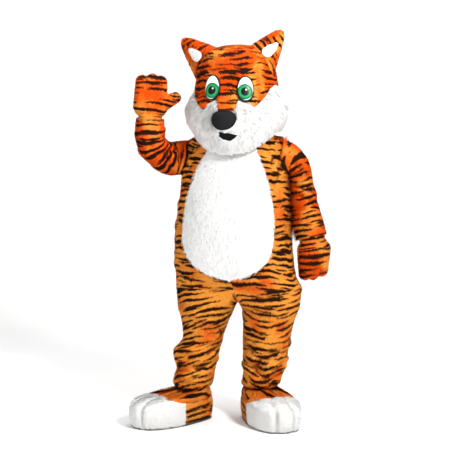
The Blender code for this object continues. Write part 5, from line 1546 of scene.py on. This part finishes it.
def pile(name, spec, seed, avoid=(), towards=()):
    """Strands over a piece's face as one joined mesh: they lean with the nap, gather in clumps
    and take their colour from the cloth at their roots."""
    mesh = pieces[name].data
    mesh.calc_loop_triangles()
    rng = np.random.default_rng(seed)
    verts = fetched(mesh.loop_triangles, "vertices", 3, np.int32)
    loops = fetched(mesh.loop_triangles, "loops", 3, np.int32)
    faces = fetched(mesh.loop_triangles, "polygon_index", 1, np.int32)
    points = fetched(mesh.vertices, "co", 3)
    normals = fetched(mesh.vertex_normals, "vector", 3)
    uvs = fetched(mesh.uv_layers["cut"].uv, "vector", 2)
    keep = face_of(name, mesh, faces)
    verts, loops = verts[keep], loops[keep]
    # Where strands stand
    edges = points[verts[:, 1]] - points[verts[:, 0]], points[verts[:, 2]] - points[verts[:, 0]]
    area = np.linalg.norm(np.cross(*edges), axis=1) / 2
    total = int(area.sum() * spec.density)
    pick = np.searchsorted(np.cumsum(area) / area.sum(), rng.random(total))
    pick = np.minimum(pick, len(area) - 1)
    a, b = rng.random(total), rng.random(total)
    over = a + b > 1
    a[over], b[over] = 1 - a[over], 1 - b[over]
    weights = np.stack([1 - a - b, a, b], axis=1)[..., None]
    root = (points[verts[pick]] * weights).sum(axis=1)
    normal = unit((normals[verts[pick]] * weights).sum(axis=1))
    nap = (naps[name][verts[pick]] * weights).sum(axis=1)
    uv = (uvs[loops[pick]] * weights).sum(axis=1)
    # Painted shade in the folds at each root, which its strand carries
    dip = (painted_fold_shade[name][verts[pick]] * weights[..., 0]).sum(axis=1)
    trees = [piece_tree(other) for other in avoid]
    if avoid:
        far = gaps(trees, root) > ROOT_CLEAR
        root, normal, nap, uv, dip = root[far], normal[far], nap[far], uv[far], dip[far]
        total = len(root)
    # Which way they lean, and how long they are
    nap = unit(nap - normal * (nap * normal).sum(axis=1, keepdims=True))
    side = np.cross(normal, nap)
    lean = np.radians(spec.lean + rng.normal(0, 9, total))[:, None]
    sway = rng.normal(0, 0.30, total)[:, None]
    size = (spec.length * rng.uniform(0.72, 1.15, total))[:, None]
    for other in towards:  # where a neighbour is close the strands stand up against it
        close = smooth_step((CLOSE_GAP - gaps([piece_tree(other)], root)[:, None]) / CLOSE_FADE)
        size *= 1 + 0.75 * close
        lean *= 1 - 0.45 * close
    way = unit(normal * np.cos(lean) + (nap + side * sway) * np.sin(lean))
    if name == "face_cloth":  # shorter low on the chin
        height = root[:, 2:] - HEAD_PLACE.z + SHOULDER_HEIGHT
        size *= 0.55 + 0.45 * smooth_step((height + 0.150) / 0.075)
    if "mouth_felt_patch" in avoid:
        reach = gaps([piece_tree("mouth_felt_patch")], root)[:, None]
        size *= 0.30 + 0.70 * smooth_step((reach - 0.005) / 0.022)
    if avoid:
        size[gaps(trees, root + way * size) < TIP_CLEAR] *= 0.35
    tip = root + way * size
    # Clumps
    centres = rng.choice(total, max(1, total // spec.clump_size), replace=False)
    tree = KDTree(len(centres))
    for n, c in enumerate(centres):
        tree.insert(root[c], n)
    tree.balance()
    near = centres[[tree.find(p)[1] for p in root]]
    pull = (spec.clump * rng.uniform(0.5, 1.0, total))[:, None]
    tip = tip * (1 - pull) + (tip[near] + (root - root[near]) * 0.25) * pull
    if avoid:
        short = gaps(trees, tip)[:, None] < CLUMP_CLEAR
        tip = np.where(short, root + (tip - root) * 0.3, tip)
    tip[:, 2] = np.maximum(tip[:, 2], FLOOR_CLEAR - SHOULDER_HEIGHT)  # bent up by the floor
    # Each strand is a triangle, or a quad with a triangle on it
    across = unit(np.cross(tip - root, normal)) * (spec.width / 2)
    across = across * rng.uniform(0.8, 1.2, total)[:, None]
    start = root - normal * 0.0006
    lit = unit(normal * 0.75 + unit(tip - root) * 0.45 + across / spec.width * 0.25)
    if spec.segments == 1:
        made = [start - across, start + across, tip]
        shares, order, sizes = (0.0, 0.0, 1.0), [0, 1, 2], [3]
    else:
        middle = (start + tip) / 2 + normal * (size * 0.13)
        made = [start - across, start + across, middle + across * 0.8, middle - across * 0.8, tip]
        shares, order, sizes = (0.0, 0.0, 0.55, 0.55, 1.0), [0, 1, 2, 3, 3, 2, 4], [4, 3]
    per = len(shares)
    corners = (np.arange(total)[:, None] * per + np.array(order)[None, :]).ravel().astype(np.int32)
    starts = np.concatenate([[0], np.cumsum(np.tile(sizes, total))[:-1]]).astype(np.int32)
    fur = bpy.data.meshes.new(f"{name}_pile")
    fur.vertices.add(total * per)
    fur.vertices.foreach_set("co", np.stack(made, axis=1).astype(np.float32).ravel())
    fur.loops.add(len(corners))
    fur.loops.foreach_set("vertex_index", corners)
    fur.polygons.add(len(starts))
    fur.polygons.foreach_set("loop_start", starts)
    fur.update(calc_edges=True)
    chance = np.repeat(rng.random(total), per)[corners]
    # The painted fold shade at each strand's corners
    low = np.repeat(dip, per)[corners]
    add_uv(fur, "cut", np.repeat(uv, per, axis=0)[corners])
    add_uv(fur, "strand", np.stack([np.tile(shares, total)[corners], chance], axis=1))
    add_uv(fur, "dip", np.stack([low, low], axis=1))
    fur.materials.append(mesh.materials[0])
    fur.shade_smooth()
    fur.normals_split_custom_set_from_vertices(np.repeat(lit, per, axis=0))
    pieces[fur.name] = linked(fur.name, fur)


CLOSE_BY = {
    "sleeve_left_cloth": ("front_left_cloth", "back_left_cloth"),
    "front_left_cloth": ("sleeve_left_cloth",),
    "back_left_cloth": ("sleeve_left_cloth",),
}
PLUSH_LOOKS = (TIGER, WARM_TIGER, HEAD_TIGER)
plush = [n for n, item in pieces.items() if item.data.materials[0] in PLUSH_LOOKS]
for seed, name in enumerate(plush, 1):
    pile(name, PLUSH_PILE, seed, PADS if name == "crown_cloth" else (), CLOSE_BY.get(name, ()))
for seed, (name, spec) in enumerate((
    ("belly", BELLY_PILE), ("face", FACE_PILE), ("boot_left_toes", TOE_PILE),
    ("boot_right_toes", TOE_PILE), ("ear_left_lining", LINING_PILE),
    ("ear_right_lining", LINING_PILE),
), 101):
    pile(name + "_cloth", spec, seed, PADS if name == "face" else ())

# --- each piece on the body, in place of the solid it stands for -------------

SLOTS = {
    "tiger_plush": PLUSH_LOOKS, "white_pile": (WHITE, FACE_WHITE),
    "black_foam": (BLACK, MOUTH_FELT), "eye_plastic": tuple(EYES.values()),
    "sole_rubber": (RUBBER,), "zip_tape": (TAPE, METAL),
}
NODES = {"face_cloth": "face_fur", "crown_cloth": "head_crown", "zip_tape_sheet": "back_zip",
         "nose_foam": "nose", "mouth_felt_patch": "mouth"}
ENDINGS = ("_cloth", "_glove", "_dome", "_rubber")


def node_of(name):
    """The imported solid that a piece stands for, if there is one."""
    for ending in ENDINGS:
        if name.endswith(ending):
            return NODES.get(name, name.removesuffix(ending))
    return NODES.get(name)


for name, item in pieces.items():
    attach(item, "root")
    if node_of(name):
        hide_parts(node_of(name))
    next(s for s, looks in SLOTS.items() if item.data.materials[0] in looks)

# --- stage -------------------------------------------------------------------


def stage_floor():
    """A pale floor that turns up into a wall far behind."""
    maker = bmesh.new()
    half, back, turn = 6.0, 3.2, 1.2
    profile = [(-half, 0.0), (back, 0.0)]
    profile += [(back + turn * math.sin(t), turn * (1 - math.cos(t)))
                for t in np.linspace(0, math.pi / 2, 14)[1:]]
    profile.append((back + turn, half))
    rows = [[maker.verts.new((x, y, z - SHOULDER_HEIGHT)) for x in (-half, half)]
            for y, z in profile]
    for a, b in zip(rows, rows[1:]):
        maker.faces.new((a[0], a[1], b[1], b[0]))
    mesh = mesh_of(maker, "studio_floor")
    net = Net("studio_paper")
    place = net.place()
    net.bump(net.noise(place, 300.0, 2.0), 0.0004, 0.3)
    pale = net.mix(net.noise(place, 2.0, 2.0), grey(0.90), grey(0.93))
    mesh.materials.append(net.finish(pale, 0.8, 0.5))
    mesh.shade_smooth()
    linked("studio_floor", mesh)


def add_light(name, place, target, size, power, colour):
    data = bpy.data.lights.new(name, "AREA")
    data.shape, data.size, data.energy, data.color = "DISK", size, power, colour
    lamp = linked(name, data)
    lamp.location = place
    lamp.rotation_euler = (Vector(target) - Vector(place)).to_track_quat("-Z", "Y").to_euler()


stage_floor()
add_light("key", (2.4, -3.8, 2.2), (0.0, 0.0, -0.3), 1.1, 350, (1.0, 0.99, 0.97))
add_light("fill", (-3.0, -3.4, 0.2), (0.0, 0.0, -0.6), 2.4, 48, (0.98, 0.99, 1.0))
add_light("top", (0.4, 0.6, 3.4), (0.0, 0.0, -0.2), 2.0, 90, (1.0, 1.0, 1.0))
world = bpy.data.worlds.new("studio_air")
world.use_nodes = True
air = world.node_tree.nodes["Background"].inputs
air["Color"].default_value, air["Strength"].default_value = (1.0, 1.0, 1.0, 1), 0.60
bpy.context.scene.world = world
bpy.context.scene.view_settings.view_transform = "Standard"

# --- camera: in front, a little below the chest, as the photograph was taken ---

CAMERA_DISTANCE = 4.5
CAMERA_HEIGHT = 1.094
CAMERA_PITCH = 2.53  # downwards
FRAME_WIDTH = 2.246  # at the figure
SENSOR_WIDTH = 36.0  # millimetres
lens = bpy.data.cameras.new("camera")
lens.sensor_width = SENSOR_WIDTH
lens.lens = SENSOR_WIDTH * CAMERA_DISTANCE / FRAME_WIDTH
camera = linked("camera", lens)
camera.location = (-0.010, -CAMERA_DISTANCE, CAMERA_HEIGHT - SHOULDER_HEIGHT)
camera.rotation_euler = (math.radians(90.0 - CAMERA_PITCH), 0.0, 0.0)
bpy.context.scene.camera = camera
